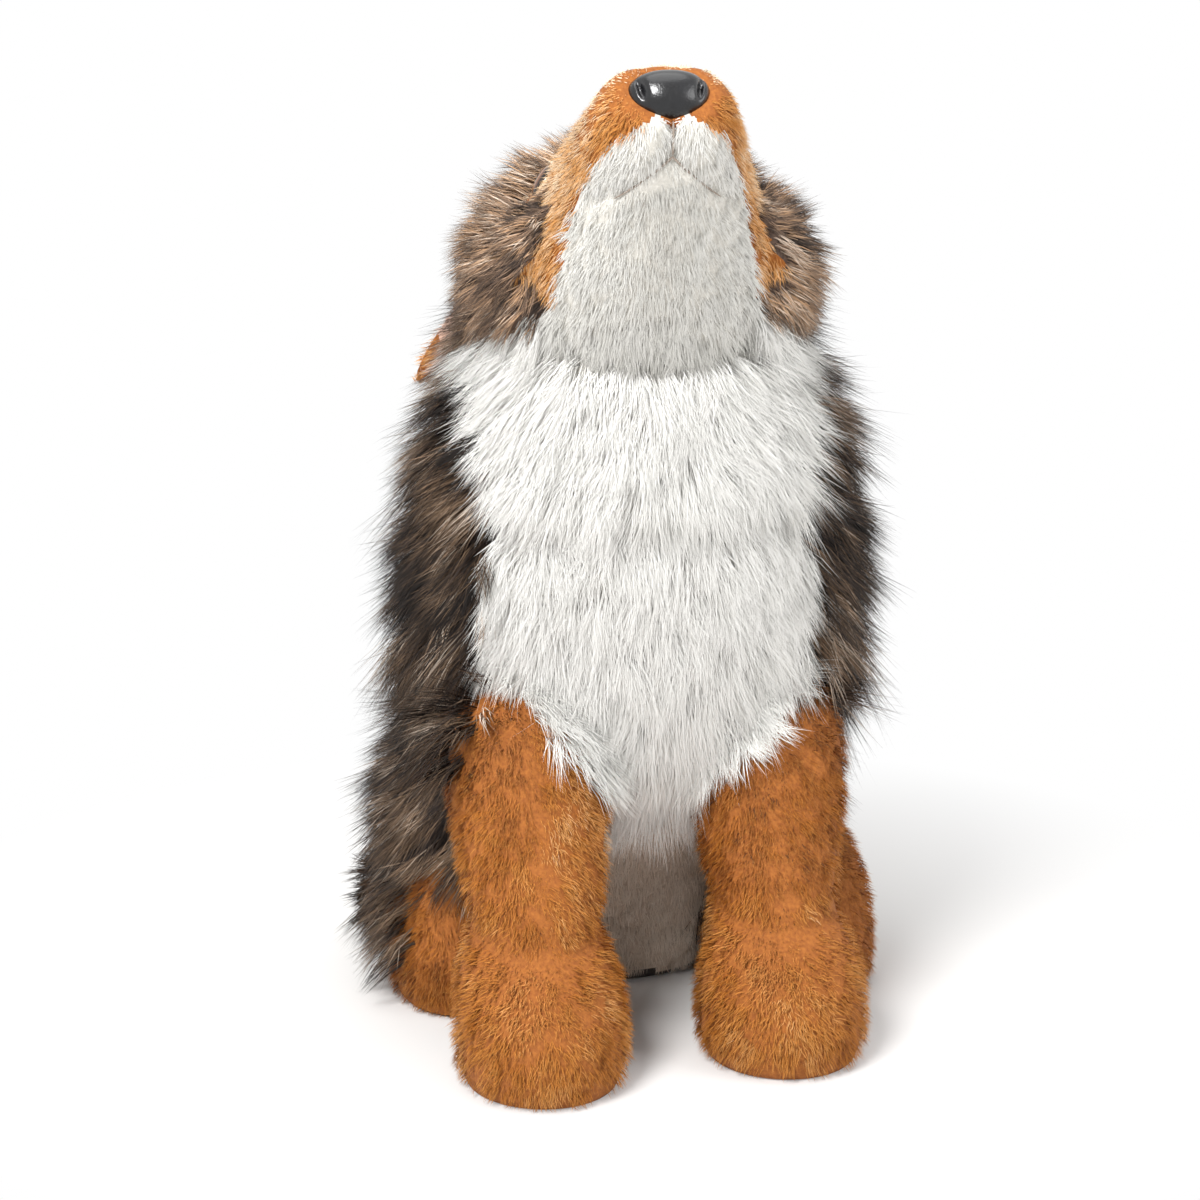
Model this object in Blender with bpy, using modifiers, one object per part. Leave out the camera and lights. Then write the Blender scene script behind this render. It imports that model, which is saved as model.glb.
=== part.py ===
"""Plush coyote that sits and howls.

Cloth panels are sewn round stuffed cores. Each core is the fibre stuffing of one stuffed
part, and each panel is a shell whose thickness is the bulk of its pile. The nose and the
eyes are plastic, each with a shank that a washer locks behind the cloth.

Metres, +Z up. The toy faces -Y and its own left is +X. The origin is on the floor, in the
middle of the seat.
"""

import math
from collections import namedtuple

import bmesh
import bpy
from mathutils import Matrix, Vector

# Clearances
SEAM_GAP = 0.0003  # between two pieces that touch
LOCK_GAP = 0.0009  # between a shaggy surface and what lies against it
SOLE = 0.004  # thickness of the seat panel and of each sole

# Bulk of each pile over the stuffing
COAT_PILE = 0.014
RUFF_PILE = 0.015
BIB_PILE = 0.011
BELLY_PILE = 0.007
HOOD_PILE = 0.018
FACE_PILE = 0.005
JAW_PILE = 0.007
LIP_PILE = 0.006
LEG_PILE = 0.005
HAUNCH_PILE = 0.012
TAIL_PILE = 0.011

# How far the locks of a long pile stand out, and how far their tips hang
LOCK_LIFT = 0.0045
LOCK_DROP = 0.007
SOFT_LOCK_LIFT = 0.0018
SOFT_LOCK_DROP = 0.003

# A level slice of a stuffed core: its height, half of its width, and how far it reaches
# towards the front (-Y) and the back (+Y)
Slice = namedtuple("Slice", "height half_width front back")

TORSO = (
    Slice(-0.014, 0.034, -0.027, 0.029),
    Slice(0.024, 0.049, -0.047, 0.041),
    Slice(0.078, 0.055, -0.077, 0.039),
    Slice(0.128, 0.077, -0.107, 0.026),
    Slice(0.180, 0.085, -0.121, 0.010),
    Slice(0.228, 0.077, -0.124, -0.001),
    Slice(0.300, 0.048, -0.107, -0.011),
)

# The head's slices run from the nape to the muzzle's tip, square to its own axis: front is
# the chin's side and back is the crown's
HEAD_PLACE = Vector((0.0, -0.083, 0.314))
HEAD_LEAN = math.radians(31)  # how far the muzzle leans forwards from straight up
HEAD = (
    Slice(-0.050, 0.036, -0.022, 0.044),
    Slice(-0.022, 0.052, -0.042, 0.053),
    Slice(0.012, 0.052, -0.045, 0.052),
    Slice(0.042, 0.036, -0.038, 0.034),
    Slice(0.068, 0.0295, -0.030, 0.020),
    Slice(0.090, 0.0245, -0.0245, 0.007),
)

FORELEG_X = 0.0505
FORELEG_STAGGER = 0.008  # the right paw stands this much ahead of the middle, the left behind
WRIST = 0.056  # height of the seam between the leg and the paw
WRIST_TILT = math.radians(16)
FORELEG = (
    Slice(-0.014, 0.024, -0.165, -0.107),
    Slice(0.018, 0.0360, -0.182, -0.098),
    Slice(0.054, 0.0185, -0.144, -0.095),
    Slice(0.104, 0.0320, -0.131, -0.079),
    Slice(0.144, 0.0290, -0.110, -0.064),
)

HIND_FOOT_X = 0.0795
HIND_FOOT_SPLAY = 0.0045  # the left foot stands this much further out, the right one further in
HIND_FOOT = (
    Slice(-0.012, 0.019, -0.070, 0.001),
    Slice(0.024, 0.0250, -0.078, 0.007),
    Slice(0.064, 0.0150, -0.053, -0.011),
)

HAUNCH_X = 0.058
HAUNCH_SHIFT = 0.004  # the haunches sit this much towards the toy's right
HAUNCH = (
    Slice(0.010, 0.018, -0.039, 0.033),
    Slice(0.064, 0.0340, -0.065, 0.049),
    Slice(0.122, 0.018, -0.045, 0.019),
)

# Points along the tail with the radius of its stuffing: it lies round the toy's right side
TAIL = (
    ((0.000, 0.025, 0.034), 0.012),
    ((-0.036, 0.071, 0.027), 0.015),
    ((-0.084, 0.045, 0.021), 0.013),
    ((-0.088, 0.003, 0.015), 0.005),
)

# Torso seams, seen from the front
RUFF_HEM = 0.231
RUFF_HALF_WIDTH = 0.055
RUFF_CORNER = 0.266  # height of the points at its two sides
RUFF_REACH = 0.068
RUFF_BACK = -0.051  # the ruff's side seams lie this far along Y
BIB_HALF_WIDTH = 0.063
BIB_BACK = -0.059
BIB_SHOULDER = 0.150
BIB_POINT = 0.099
HEM_RISE = 0.006  # how far the ruff's hem climbs to its sides
HEM_FLARE = 0.008
HEM_NOTCH = 0.012
BIB_WAIST = 0.030  # below the ruff's hem, where the bib is widest
BIB_ROUNDING = 0.016  # height of its rounded corners
BIB_TAPER = 0.005
BIB_LAP = 0.58  # of its half width, where the point starts
BIB_TIP = 0.18
BELLY_HALF_WIDTH = 0.040
BELLY_BACK = -0.013

# Head seams, in the head's own frame: distance along its axis, from the skull's middle
WHITE_EDGE = ((0.095, 0.005), (0.091, 0.015), (0.080, 0.0240), (0.058, 0.0315), (0.012, 0.0405))
MOUTH_TOP = 0.081  # where the two lips meet the jaw
MOUTH_CORNER = 0.047
MOUTH_HALF_WIDTH = 0.036
BROW = 0.046  # where the hood ends above the muzzle
CHEEK_END = 0.004  # lower end of the tan cheeks
CHEEK_EDGE = -0.017  # the hood's side seam, towards the chin
BROW_EDGE = 0.012
BROW_DROP = 0.008  # from the brow to where its edge turns down the cheek
CHEEK_TOP = 0.018

EYE_AHEAD = 0.031  # along the head's axis
EYE_ANGLE = math.radians(28)  # towards the crown from straight sideways
EYE_RADIUS = 0.0085
EYE_BULGE = 0.0052
EYE_PROUD = 0.002  # how far its middle stands off the cloth's back
NOSE_HALF_WIDTH = 0.0155
NOSE_HALF_HEIGHT = 0.0102
NOSE_HALF_DEPTH = 0.0120
NOSE_TILT = math.radians(30)  # from the head's axis towards the chin
NOSE_AIM = 0.070  # along the head's axis, where the nose's own axis starts
NOSE_LIFT = 0.004  # and how far towards the crown
NOSE_PROUD = 0.0010  # how far its middle stands out of the cloth
NOSTRIL = (0.0022, 0.0052, 0.004)  # half sizes of the slit
NOSTRIL_OUT = 0.84  # of the nose's half width
NOSTRIL_UP = 0.001
NOSTRIL_SLANT = math.radians(18)
NOSE_FINENESS = (6, 10)  # rings and sides of a dome
EYE_FINENESS = (5, 8)
SHANK_RADIUS = 0.0025
SHANK_SIDES = 6
SHANK_BEYOND = 0.006  # how far a shank runs on behind its dome
WASHER_RADIUS = 0.0062
WASHER_THICKNESS = 0.0018
SHANK_FIT = 0.0004

EAR_PLACE = Vector((0.048, 0.036, -0.036))  # root, in the head's frame, left ear
EAR_TIP = Vector((0.075, 0.054, -0.098))
EAR_HALF_WIDTH = 0.021
EAR_THICKNESS = 0.0042  # of each of its two cloths
EAR_CUP = 0.006
EAR_FACING = (0.25, 0.6)  # how far its lining turns to the crown and to the muzzle
EAR_FULLNESS = 0.75  # below 1, its sides bulge
EAR_STEPS = 4

TAN = (0.46, 0.19, 0.055)
WHITE = (0.86, 0.86, 0.84)
COAT = (0.085, 0.062, 0.052)
FIBRE = (0.8, 0.8, 0.78)
BLACK = (0.012, 0.012, 0.013)
AMBER = (0.35, 0.12, 0.01)
PLASTIC = (0.7, 0.7, 0.7)
PINK = (0.72, 0.55, 0.46)

FAR = 0.5  # reach of a cutter that must clear the whole toy
TORSO_SIDES = 9  # corners of a cage's ring
HEAD_SIDES = 7
LEG_SIDES = 5
FOOT_SIDES = 4
FLAT = math.radians(0.3)  # faces that bend less than this are one
HEAD_FRAME = Matrix.Translation(HEAD_PLACE) @ Matrix.Rotation(HEAD_LEAN, 4, "X")


def clear_scene():
    """Removes what the scene holds, and makes the two collections."""
    for obj in list(bpy.data.objects):
        bpy.data.objects.remove(obj)
    for name in ("plush_coyote", "cutters"):
        bpy.context.scene.collection.children.link(bpy.data.collections.new(name))


def cloth(name, colour, roughness=0.9, metallic=0.0):
    """The material of that name, made on its first use."""
    material = bpy.data.materials.get(name)
    if material is None:
        material = bpy.data.materials.new(name)
        material.use_nodes = True
        shader = material.node_tree.nodes["Principled BSDF"]
        shader.inputs["Base Color"].default_value = (*colour, 1)
        shader.inputs["Roughness"].default_value = roughness
        shader.inputs["Metallic"].default_value = metallic
    return material


def helper(name, mesh):
    """A cutter or a core to work from, which isn't a piece of the toy."""
    obj = bpy.data.objects.new(name, mesh)
    bpy.data.collections["cutters"].objects.link(obj)
    obj.hide_render = True
    obj.display_type = "WIRE"
    return obj


def bake(obj):
    """Replaces an object's mesh by what its modifiers make of it."""
    graph = bpy.context.evaluated_depsgraph_get()
    mesh = bpy.data.meshes.new_from_object(obj.evaluated_get(graph))
    obj.modifiers.clear()
    obj.data = mesh
    return obj


def copy_of(obj, name):
    """A second helper with its own mesh."""
    twin = helper(name, obj.data.copy())
    twin.matrix_world = obj.matrix_world
    return twin


def combine(obj, operation, *others):
    """Cuts, joins or intersects obj with each of the others in turn.

    The EXACT solver loses whole shells of these soft many-faced forms, so MANIFOLD does it.
    """
    for other in others:
        modifier = obj.modifiers.new("combine", "BOOLEAN")
        modifier.operation = operation
        modifier.object = other
        modifier.solver = "MANIFOLD"
        bake(obj)
    return obj


def cut(obj, *others):
    return combine(obj, "DIFFERENCE", *others)


def keep(obj, *others):
    return combine(obj, "INTERSECT", *others)


def cleaned(mesh):
    """Drops the crumbs that a cut leaves beside the main body, and spare points on seams."""
    work = bmesh.new()
    work.from_mesh(mesh)
    left, islands = set(work.faces), []
    while left:
        todo = [left.pop()]
        island = list(todo)
        while todo:
            near = {f for e in todo.pop().edges for f in e.link_faces} & left
            left -= near
            todo += near
            island += near
        islands.append(island)
    islands.sort(key=len)
    crumbs = [face for island in islands[:-1] for face in island]
    bmesh.ops.delete(work, geom=crumbs, context="FACES")
    bmesh.ops.dissolve_limit(work, angle_limit=FLAT, verts=work.verts, edges=work.edges)
    work.to_mesh(mesh)
    work.free()


def piece(obj, name, material):
    """Turns a helper into a piece of the toy."""
    cleaned(obj.data)
    bpy.data.collections["cutters"].objects.unlink(obj)
    bpy.data.collections["plush_coyote"].objects.link(obj)
    obj.hide_render = False
    obj.display_type = "TEXTURED"
    obj.name = name
    obj.data.materials.clear()
    obj.data.materials.append(material)
    obj.data.shade_smooth()
    obj.data.set_sharp_from_angle(angle=math.radians(40))
    return obj


def ring(work, level, sides, middle_x, shift_y):
    """The cage's points round one slice, swollen by what the rounding takes off."""
    swell = 3 / (2 + math.cos(2 * math.pi / sides))
    reach = (level.back - level.front) / 2 * swell
    middle_y = (level.back + level.front) / 2 + shift_y
    turns = [2 * math.pi * (k + 0.5) / sides for k in range(sides)]
    return [
        work.verts.new(
            (
                middle_x + level.half_width * swell * math.cos(turn),
                middle_y + reach * math.sin(turn),
                level.height,
            )
        )
        for turn in turns
    ]


def core(name, slices, sides, frame=None, middle_x=0.0, shift_y=0.0):
    """A soft closed form: a coarse cage through the slices, rounded by subdivision."""
    work = bmesh.new()
    rings = [ring(work, level, sides, middle_x, shift_y) for level in slices]
    work.faces.new(reversed(rings[0]))
    work.faces.new(rings[-1])
    for low, high in zip(rings, rings[1:]):
        for k in range(sides):
            after = (k + 1) % sides
            work.faces.new((low[k], low[after], high[after], high[k]))
    mesh = bpy.data.meshes.new(name)
    work.to_mesh(mesh)
    work.free()
    if frame is not None:
        mesh.transform(frame)
    obj = helper(name, mesh)
    soften = obj.modifiers.new("soften", "SUBSURF")
    soften.levels = soften.render_levels = 1
    return settled(bake(obj))


def settled(obj):
    """Marks every second point as a lock's root, then fixes the diagonals of all faces.

    A bent face may be parted along either diagonal, so a form and its swollen copies keep
    an even distance only when they share them.
    """
    work = bmesh.new()
    work.from_mesh(obj.data)
    root = work.verts.layers.int.new("lock_root")
    work.verts.ensure_lookup_table()
    seen, todo = {work.verts[0]}, [work.verts[0]]
    while todo:
        here = todo.pop()
        for edge in here.link_edges:
            there = edge.other_vert(here)
            if there not in seen:
                there[root] = 1 - here[root]
                seen.add(there)
                todo.append(there)
    bmesh.ops.triangulate(work, faces=work.faces, quad_method="FIXED")
    work.to_mesh(obj.data)
    work.free()
    return obj


def grown(form, name, by):
    """The form, swollen by the same depth everywhere."""
    obj = copy_of(form, name)
    swell = obj.modifiers.new("swell", "DISPLACE")
    swell.mid_level = 0.0
    swell.strength = by
    return bake(obj)


def locked(obj, lift, drop, flow):
    """Draws each lock's root out and along the fur's flow."""
    work = bmesh.new()
    work.from_mesh(obj.data)
    work.normal_update()
    root = work.verts.layers.int["lock_root"]
    moves = []
    for vert in work.verts:
        if vert[root]:
            along = flow(vert.co)
            along = along - vert.normal * along.dot(vert.normal)
            moves.append((vert, vert.normal * lift + along * drop))
    for vert, move in moves:
        vert.co += move
    work.to_mesh(obj.data)
    work.free()
    return obj


def room_for(form, name, pile, shagginess):
    """What must stay clear of a shaggy cloth: its form, its pile and its locks."""
    shaggy = locked(grown(form, name + "_locks", pile), *shagginess)
    return grown(shaggy, name, LOCK_GAP)


def downwards(_):
    return Vector((0, 0, -1))


def towards_nape(_):
    return HEAD_FRAME.to_3x3() @ Vector((0, 0, -1))


def box(name, low, high):
    """A box cutter between two corners."""
    mesh = bpy.data.meshes.new(name)
    work = bmesh.new()
    low, high = Vector(low), Vector(high)
    place = Matrix.Translation((low + high) / 2) @ Matrix.Diagonal((*(high - low), 1))
    bmesh.ops.create_cube(work, size=1, matrix=place)
    work.to_mesh(mesh)
    work.free()
    return helper(name, mesh)


def prism(name, outline, near, far, frame=None):
    """A cutter with a flat outline of (across, up) points, run along Y from near to far."""
    mesh = bpy.data.meshes.new(name)
    work = bmesh.new()
    face = work.faces.new([work.verts.new((x, near, z)) for x, z in outline])
    made = bmesh.ops.extrude_face_region(work, geom=[face])["geom"]
    corners = [v for v in made if isinstance(v, bmesh.types.BMVert)]
    bmesh.ops.translate(work, verts=corners, vec=(0, far - near, 0))
    bmesh.ops.recalc_face_normals(work, faces=work.faces)
    if frame is not None:
        bmesh.ops.transform(work, matrix=frame, verts=work.verts)
    work.to_mesh(mesh)
    work.free()
    return helper(name, mesh)


def both_sides(half):
    """An outline from its right half, which runs from the top to the bottom."""
    return [(x, z) for z, x in half] + [(-x, z) for z, x in reversed(half)]


def shell(form, name, pile, shagginess=None):
    """Cloth of that pile over a core: the swollen core, less the core and the seam's gap."""
    outside = grown(form, name, pile)
    if shagginess is not None:
        locked(outside, *shagginess)
    inside = grown(form, name + "_inside", SEAM_GAP)
    return cut(outside, inside)


def tube(name, points):
    """A closed tube with its own radius at each point."""
    curve = bpy.data.curves.new(name, "CURVE")
    curve.dimensions = "3D"
    curve.resolution_u = 2
    curve.bevel_depth = 1.0
    curve.bevel_resolution = 2
    curve.use_fill_caps = True
    spline = curve.splines.new("BEZIER")
    spline.bezier_points.add(len(points) - 1)
    for point, (place, radius) in zip(spline.bezier_points, points):
        point.co = place
        point.radius = radius
        point.handle_left_type = point.handle_right_type = "AUTO"
    path = bpy.data.objects.new(name + "_path", curve)
    bpy.data.collections["cutters"].objects.link(path)
    graph = bpy.context.evaluated_depsgraph_get()
    mesh = bpy.data.meshes.new_from_object(path.evaluated_get(graph))
    bpy.data.objects.remove(path)
    work = bmesh.new()
    work.from_mesh(mesh)
    bmesh.ops.remove_doubles(work, verts=work.verts, dist=SEAM_GAP / 10)
    bmesh.ops.recalc_face_normals(work, faces=work.faces)
    work.to_mesh(mesh)
    work.free()
    return settled(helper(name, mesh))


def torso_regions(ease):
    """Cutters for the ruff, the bib and the belly, each wider by ease."""
    ruff = [
        (FAR, RUFF_REACH + ease),
        (RUFF_CORNER - ease, RUFF_REACH + ease),
        (RUFF_HEM + HEM_RISE - ease, RUFF_HALF_WIDTH + HEM_FLARE + ease),
        (RUFF_HEM - ease, RUFF_HALF_WIDTH - HEM_NOTCH),
    ]
    bib = [
        (RUFF_HEM - SEAM_GAP + ease, BIB_HALF_WIDTH - BIB_TAPER + ease),
        (RUFF_HEM - BIB_WAIST, BIB_HALF_WIDTH + ease),
        (BIB_SHOULDER + BIB_ROUNDING, BIB_HALF_WIDTH + ease),
        (BIB_SHOULDER - ease, BIB_HALF_WIDTH - BIB_TAPER + ease),
        (BIB_POINT + BIB_ROUNDING - ease, BIB_HALF_WIDTH * BIB_LAP + ease),
        (BIB_POINT - ease, BIB_HALF_WIDTH * BIB_TIP),
    ]
    return (
        prism("ruff_region", both_sides(ruff), -FAR, RUFF_BACK + ease),
        prism("bib_region", both_sides(bib), -FAR, BIB_BACK + ease),
        box(
            "belly_region",
            (-BELLY_HALF_WIDTH - ease, -FAR, -FAR),
            (BELLY_HALF_WIDTH + ease, BELLY_BACK + ease, BIB_SHOULDER),
        ),
    )


def head_regions(ease):
    """Cutters for the white chin and lips, and for the hood, each wider by ease."""
    white = [(along + ease, half + ease) for along, half in WHITE_EDGE]
    white[-1] = (-FAR, white[-1][1])
    hood = [
        (FAR, BROW + ease),
        (BROW_EDGE, BROW - BROW_DROP + ease),
        (CHEEK_EDGE - ease, CHEEK_TOP),
        (CHEEK_EDGE - ease, CHEEK_END + ease),
        (-FAR, CHEEK_END + ease),
        (-FAR, -FAR),
        (FAR, -FAR),
    ]
    sideways = HEAD_FRAME @ Matrix.Rotation(math.radians(90), 4, "Z")
    return (
        prism("white_region", both_sides(white), -FAR, 0.0, HEAD_FRAME),
        prism("hood_region", hood, -FAR, FAR, sideways),
    )


def mouth_region(ease):
    """A cutter for the jaw: all that lies on the nape's side of the mouth's chevron."""
    chevron = [
        (MOUTH_TOP + ease, 0.0),
        (MOUTH_CORNER + ease, MOUTH_HALF_WIDTH),
        (MOUTH_CORNER + ease, FAR),
        (-FAR, FAR),
    ]
    outline = [(x, z) for z, x in chevron] + [(-x, z) for z, x in reversed(chevron[1:])]
    return prism("mouth_region", outline, -FAR, 0.0, HEAD_FRAME)


def halves(obj, name, material):
    """Parts a pair of panels along the toy's middle seam."""
    other = copy_of(obj, name)
    right_side = box("right_side", (-FAR, -FAR, -FAR), (SEAM_GAP / 2, FAR, FAR))
    left_side = box("left_side", (-SEAM_GAP / 2, -FAR, -FAR), (FAR, FAR, FAR))
    piece(cut(obj, right_side), name + "_left", material)
    piece(cut(other, left_side), name + "_right", material)


def make_torso(floor, seat_slab):
    """The torso's panels and its stuffing, before the head is cut out of them."""
    form = core("torso_core", TORSO, TORSO_SIDES)
    shaggy = (LOCK_LIFT, LOCK_DROP, downwards)
    soft = (SOFT_LOCK_LIFT, SOFT_LOCK_DROP, downwards)
    ruff_region, bib_region, belly_region = torso_regions(0.0)
    wide_ruff, wide_bib, wide_belly = torso_regions(SEAM_GAP)
    coat = shell(form, "coat", COAT_PILE, shaggy)
    cut(coat, wide_ruff, wide_bib, wide_belly, seat_slab)
    ruff = keep(shell(form, "ruff_shell", RUFF_PILE, soft), ruff_region)
    bib = cut(keep(shell(form, "bib_shell", BIB_PILE, soft), bib_region), wide_ruff)
    belly = keep(shell(form, "belly_shell", BELLY_PILE), belly_region)
    belly = cut(belly, wide_bib, seat_slab)
    seat = grown(form, "seat_blank", BELLY_PILE)
    slab = box("seat_cut", (-FAR, -FAR, SOLE), (FAR, FAR, FAR))
    seat = cut(seat, floor, slab)
    stuffing = cut(copy_of(form, "torso_fill"), seat_slab)
    envelope = room_for(form, "torso_envelope", COAT_PILE, shaggy)
    panels = {
        "coat": coat,
        "ruff": ruff,
        "bib": bib,
        "belly": belly,
        "seat": seat,
        "fill": stuffing,
    }
    return form, panels, envelope


def surface_place(form, start, direction):
    """Where a ray from inside a form leaves it, and the surface's direction there."""
    inverse = form.matrix_world.inverted()
    way = inverse.to_3x3() @ direction
    found, place, normal, _ = form.ray_cast(inverse @ start, way)
    if not found:
        raise ValueError(f"{form.name} isn't met by the ray")
    return place, normal


def facing(place, axis, up=Vector((0, 0, 1))):
    """A frame at place whose Z points along axis, and whose Y is near up."""
    z = axis.normalized()
    x = up.cross(z).normalized()
    frame = Matrix((x, z.cross(x), z)).transposed().to_4x4()
    return Matrix.Translation(place) @ frame


def round_solid(name, radius, low, high, frame, sides=8):
    """A cylinder between two heights of a frame."""
    mesh = bpy.data.meshes.new(name)
    work = bmesh.new()
    place = frame @ Matrix.Translation((0, 0, (low + high) / 2))
    bmesh.ops.create_cone(
        work,
        cap_ends=True,
        segments=sides,
        radius1=radius,
        radius2=radius,
        depth=high - low,
        matrix=place,
    )
    work.to_mesh(mesh)
    work.free()
    return helper(name, mesh)


def ball(name, sizes, frame, rings=5, sides=8):
    """An ellipsoid of three half sizes in a frame."""
    mesh = bpy.data.meshes.new(name)
    work = bmesh.new()
    place = frame @ Matrix.Diagonal((*sizes, 1))
    bmesh.ops.create_uvsphere(work, u_segments=sides, v_segments=rings, radius=1, matrix=place)
    work.to_mesh(mesh)
    work.free()
    return helper(name, mesh)


def fitting(name, sizes, frame, fineness):
    """A moulded nose or eye: a dome of those half sizes on a shank that runs inwards."""
    length = sizes[2] + SHANK_BEYOND
    shank = round_solid(name + "_shank", SHANK_RADIUS, -length, 0.0, frame, SHANK_SIDES)
    return combine(ball(name, sizes, frame, *fineness), "UNION", shank)


def washer(name, sizes, frame):
    """The lock washer that is pressed up a fitting's shank, against the cloth."""
    top = -sizes[2] - SEAM_GAP
    disc = round_solid(name, WASHER_RADIUS, top - WASHER_THICKNESS, top, frame)
    bore = round_solid(name + "_bore", SHANK_RADIUS + SHANK_FIT, -FAR, FAR, frame, SHANK_SIDES)
    return cut(disc, bore)


def nostrils(nose, frame):
    """Cuts a slanting nostril into each side of the nose."""
    for side in (-1, 1):
        aside = (side * NOSE_HALF_WIDTH * NOSTRIL_OUT, NOSTRIL_UP, NOSE_HALF_DEPTH * NOSTRIL_OUT / 2)
        slit = frame @ Matrix.Translation(aside) @ Matrix.Rotation(side * NOSTRIL_SLANT, 4, "Z")
        cut(nose, ball("nostril", NOSTRIL, slit))


def make_fittings(form):
    """The nose, the eyes and their washers. Returns the holes and the pockets for them."""
    holes, pockets = [], []
    crown = HEAD_FRAME.to_3x3() @ Vector((0, 1, 0))
    ahead = HEAD_FRAME.to_3x3() @ Vector((0, 0, 1))
    nose_way = HEAD_FRAME.to_3x3() @ Vector((0, -math.sin(NOSE_TILT), math.cos(NOSE_TILT)))
    tip, _ = surface_place(form, HEAD_FRAME @ Vector((0, NOSE_LIFT, NOSE_AIM)), nose_way)
    nose_frame = facing(tip + nose_way * (FACE_PILE + NOSE_PROUD), nose_way, crown)
    nose_sizes = (NOSE_HALF_WIDTH, NOSE_HALF_HEIGHT, NOSE_HALF_DEPTH)
    jobs = [("nose", "nose_washer", nose_frame, nose_sizes, cloth("nose_plastic", BLACK, 0.25))]
    for side, word in ((1, "left"), (-1, "right")):
        start = HEAD_FRAME @ Vector((0, 0, EYE_AHEAD))
        out = HEAD_FRAME.to_3x3() @ Vector((side * math.cos(EYE_ANGLE), math.sin(EYE_ANGLE), 0))
        place, normal = surface_place(form, start, out)
        frame = facing(place + normal * EYE_PROUD, normal, ahead)
        eye_sizes = (EYE_RADIUS, EYE_RADIUS, EYE_BULGE)
        amber = cloth("eye_plastic", AMBER, 0.08)
        jobs.append(("eye_" + word, "eye_washer_" + word, frame, eye_sizes, amber))
    for name, lock, frame, sizes, material in jobs:
        fineness = NOSE_FINENESS if name == "nose" else EYE_FINENESS
        made = fitting(name + "_solid", sizes, frame, fineness)
        if name == "nose":
            nostrils(made, frame)
        piece(made, name, material)
        piece(washer(lock + "_disc", sizes, frame), lock, cloth("washer_plastic", PLASTIC, 0.5))
        holes.append(ball(name + "_hole", [size + SEAM_GAP for size in sizes], frame, *fineness))
        deep = -sizes[2] - SHANK_BEYOND - SEAM_GAP
        wide = WASHER_RADIUS + SEAM_GAP
        pockets.append(round_solid(name + "_pocket", wide, deep, -sizes[2] / 2, frame))
    return holes, pockets


def make_head(torso_form):
    """The head's panels, stuffing, nose and eyes. Returns what the torso is cut with."""
    form = core("head_core", HEAD, HEAD_SIDES, HEAD_FRAME)
    neck = grown(torso_form, "neck_space", SEAM_GAP)
    shaggy = (SOFT_LOCK_LIFT, SOFT_LOCK_DROP, towards_nape)
    white, hood = head_regions(0.0)
    wide_white, wide_hood = head_regions(SEAM_GAP)
    jaw_side, wide_jaw_side = mouth_region(0.0), mouth_region(SEAM_GAP)
    holes, pockets = make_fittings(form)
    jaw = keep(shell(form, "jaw_shell", JAW_PILE), white, jaw_side)
    piece(cut(jaw, neck), "jaw_panel", cloth("white_plush", WHITE))
    lips = cut(keep(shell(form, "lip_shell", LIP_PILE), white), wide_jaw_side, *holes)
    halves(lips, "lip", cloth("white_plush", WHITE))
    face = cut(shell(form, "face_shell", FACE_PILE), wide_white, wide_hood, neck, *holes)
    piece(face, "face_panel", cloth("tan_plush", TAN))
    cap = cut(keep(shell(form, "hood_shell", HOOD_PILE, shaggy), hood), wide_white, neck, *holes)
    halves(cap, "hood", cloth("coat_fur", COAT))
    fill = cut(copy_of(form, "head_fill"), *holes, *pockets)
    piece(fill, "head_stuffing", cloth("stuffing_fibre", FIBRE))
    hood_space = keep(room_for(form, "hood_space", HOOD_PILE, shaggy), wide_hood)
    jaw_space = grown(form, "jaw_space", JAW_PILE + SEAM_GAP)
    return hood_space, jaw_space, grown(form, "skull_space", SEAM_GAP)


def ear_blade(name, side, low, high):
    """A cupped, pointed leaf between two depths of the ear's thickness."""
    root, tip = (Vector((side * p.x, p.y, p.z)) for p in (EAR_PLACE, EAR_TIP))
    along = (tip - root).normalized()
    across = along.cross(Vector((side, *EAR_FACING))).normalized()
    out = across.cross(along)
    spread = (-1.0, 0.0, 1.0)
    work = bmesh.new()
    layers = []
    for depth in (low, high):
        rows = []
        for k in range(EAR_STEPS + 1):
            share = k / EAR_STEPS
            half = EAR_HALF_WIDTH * math.cos(share * math.pi / 2 * 0.93) ** EAR_FULLNESS
            middle = root + (tip - root) * share
            row = []
            for s in spread:
                place = middle + across * half * s + out * (depth + EAR_CUP * s * s)
                row.append(work.verts.new(HEAD_FRAME @ place))
            rows.append(row)
        layers.append(rows)
    last = len(spread) - 1
    for rows in layers:
        for near, far in zip(rows, rows[1:]):
            for k in range(last):
                work.faces.new((near[k], near[k + 1], far[k + 1], far[k]))
    rims = []
    for rows in layers:
        there = [row[last] for row in rows[1:]]
        back = [row[0] for row in rows[-2:0:-1]]
        rims.append(rows[0] + there + rows[-1][-2::-1] + back)
    for k in range(len(rims[0])):
        after = (k + 1) % len(rims[0])
        work.faces.new((rims[0][k], rims[0][after], rims[1][after], rims[1][k]))
    bmesh.ops.recalc_face_normals(work, faces=work.faces)
    mesh = bpy.data.meshes.new(name)
    work.to_mesh(mesh)
    work.free()
    return helper(name, mesh)


def make_ears(hood_space, envelope):
    """Each ear is a furred back and a pale lining, sewn back to back on the hood."""
    for side, word in ((1, "left"), (-1, "right")):
        back = ear_blade("ear_back_blade", side, -EAR_THICKNESS, 0.0)
        lining = ear_blade("ear_lining_blade", side, SEAM_GAP, EAR_THICKNESS)
        piece(cut(back, hood_space, envelope), "ear_back_" + word, cloth("coat_fur", COAT))
        piece(cut(lining, hood_space, envelope), "ear_lining_" + word, cloth("ear_plush", PINK))


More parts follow.
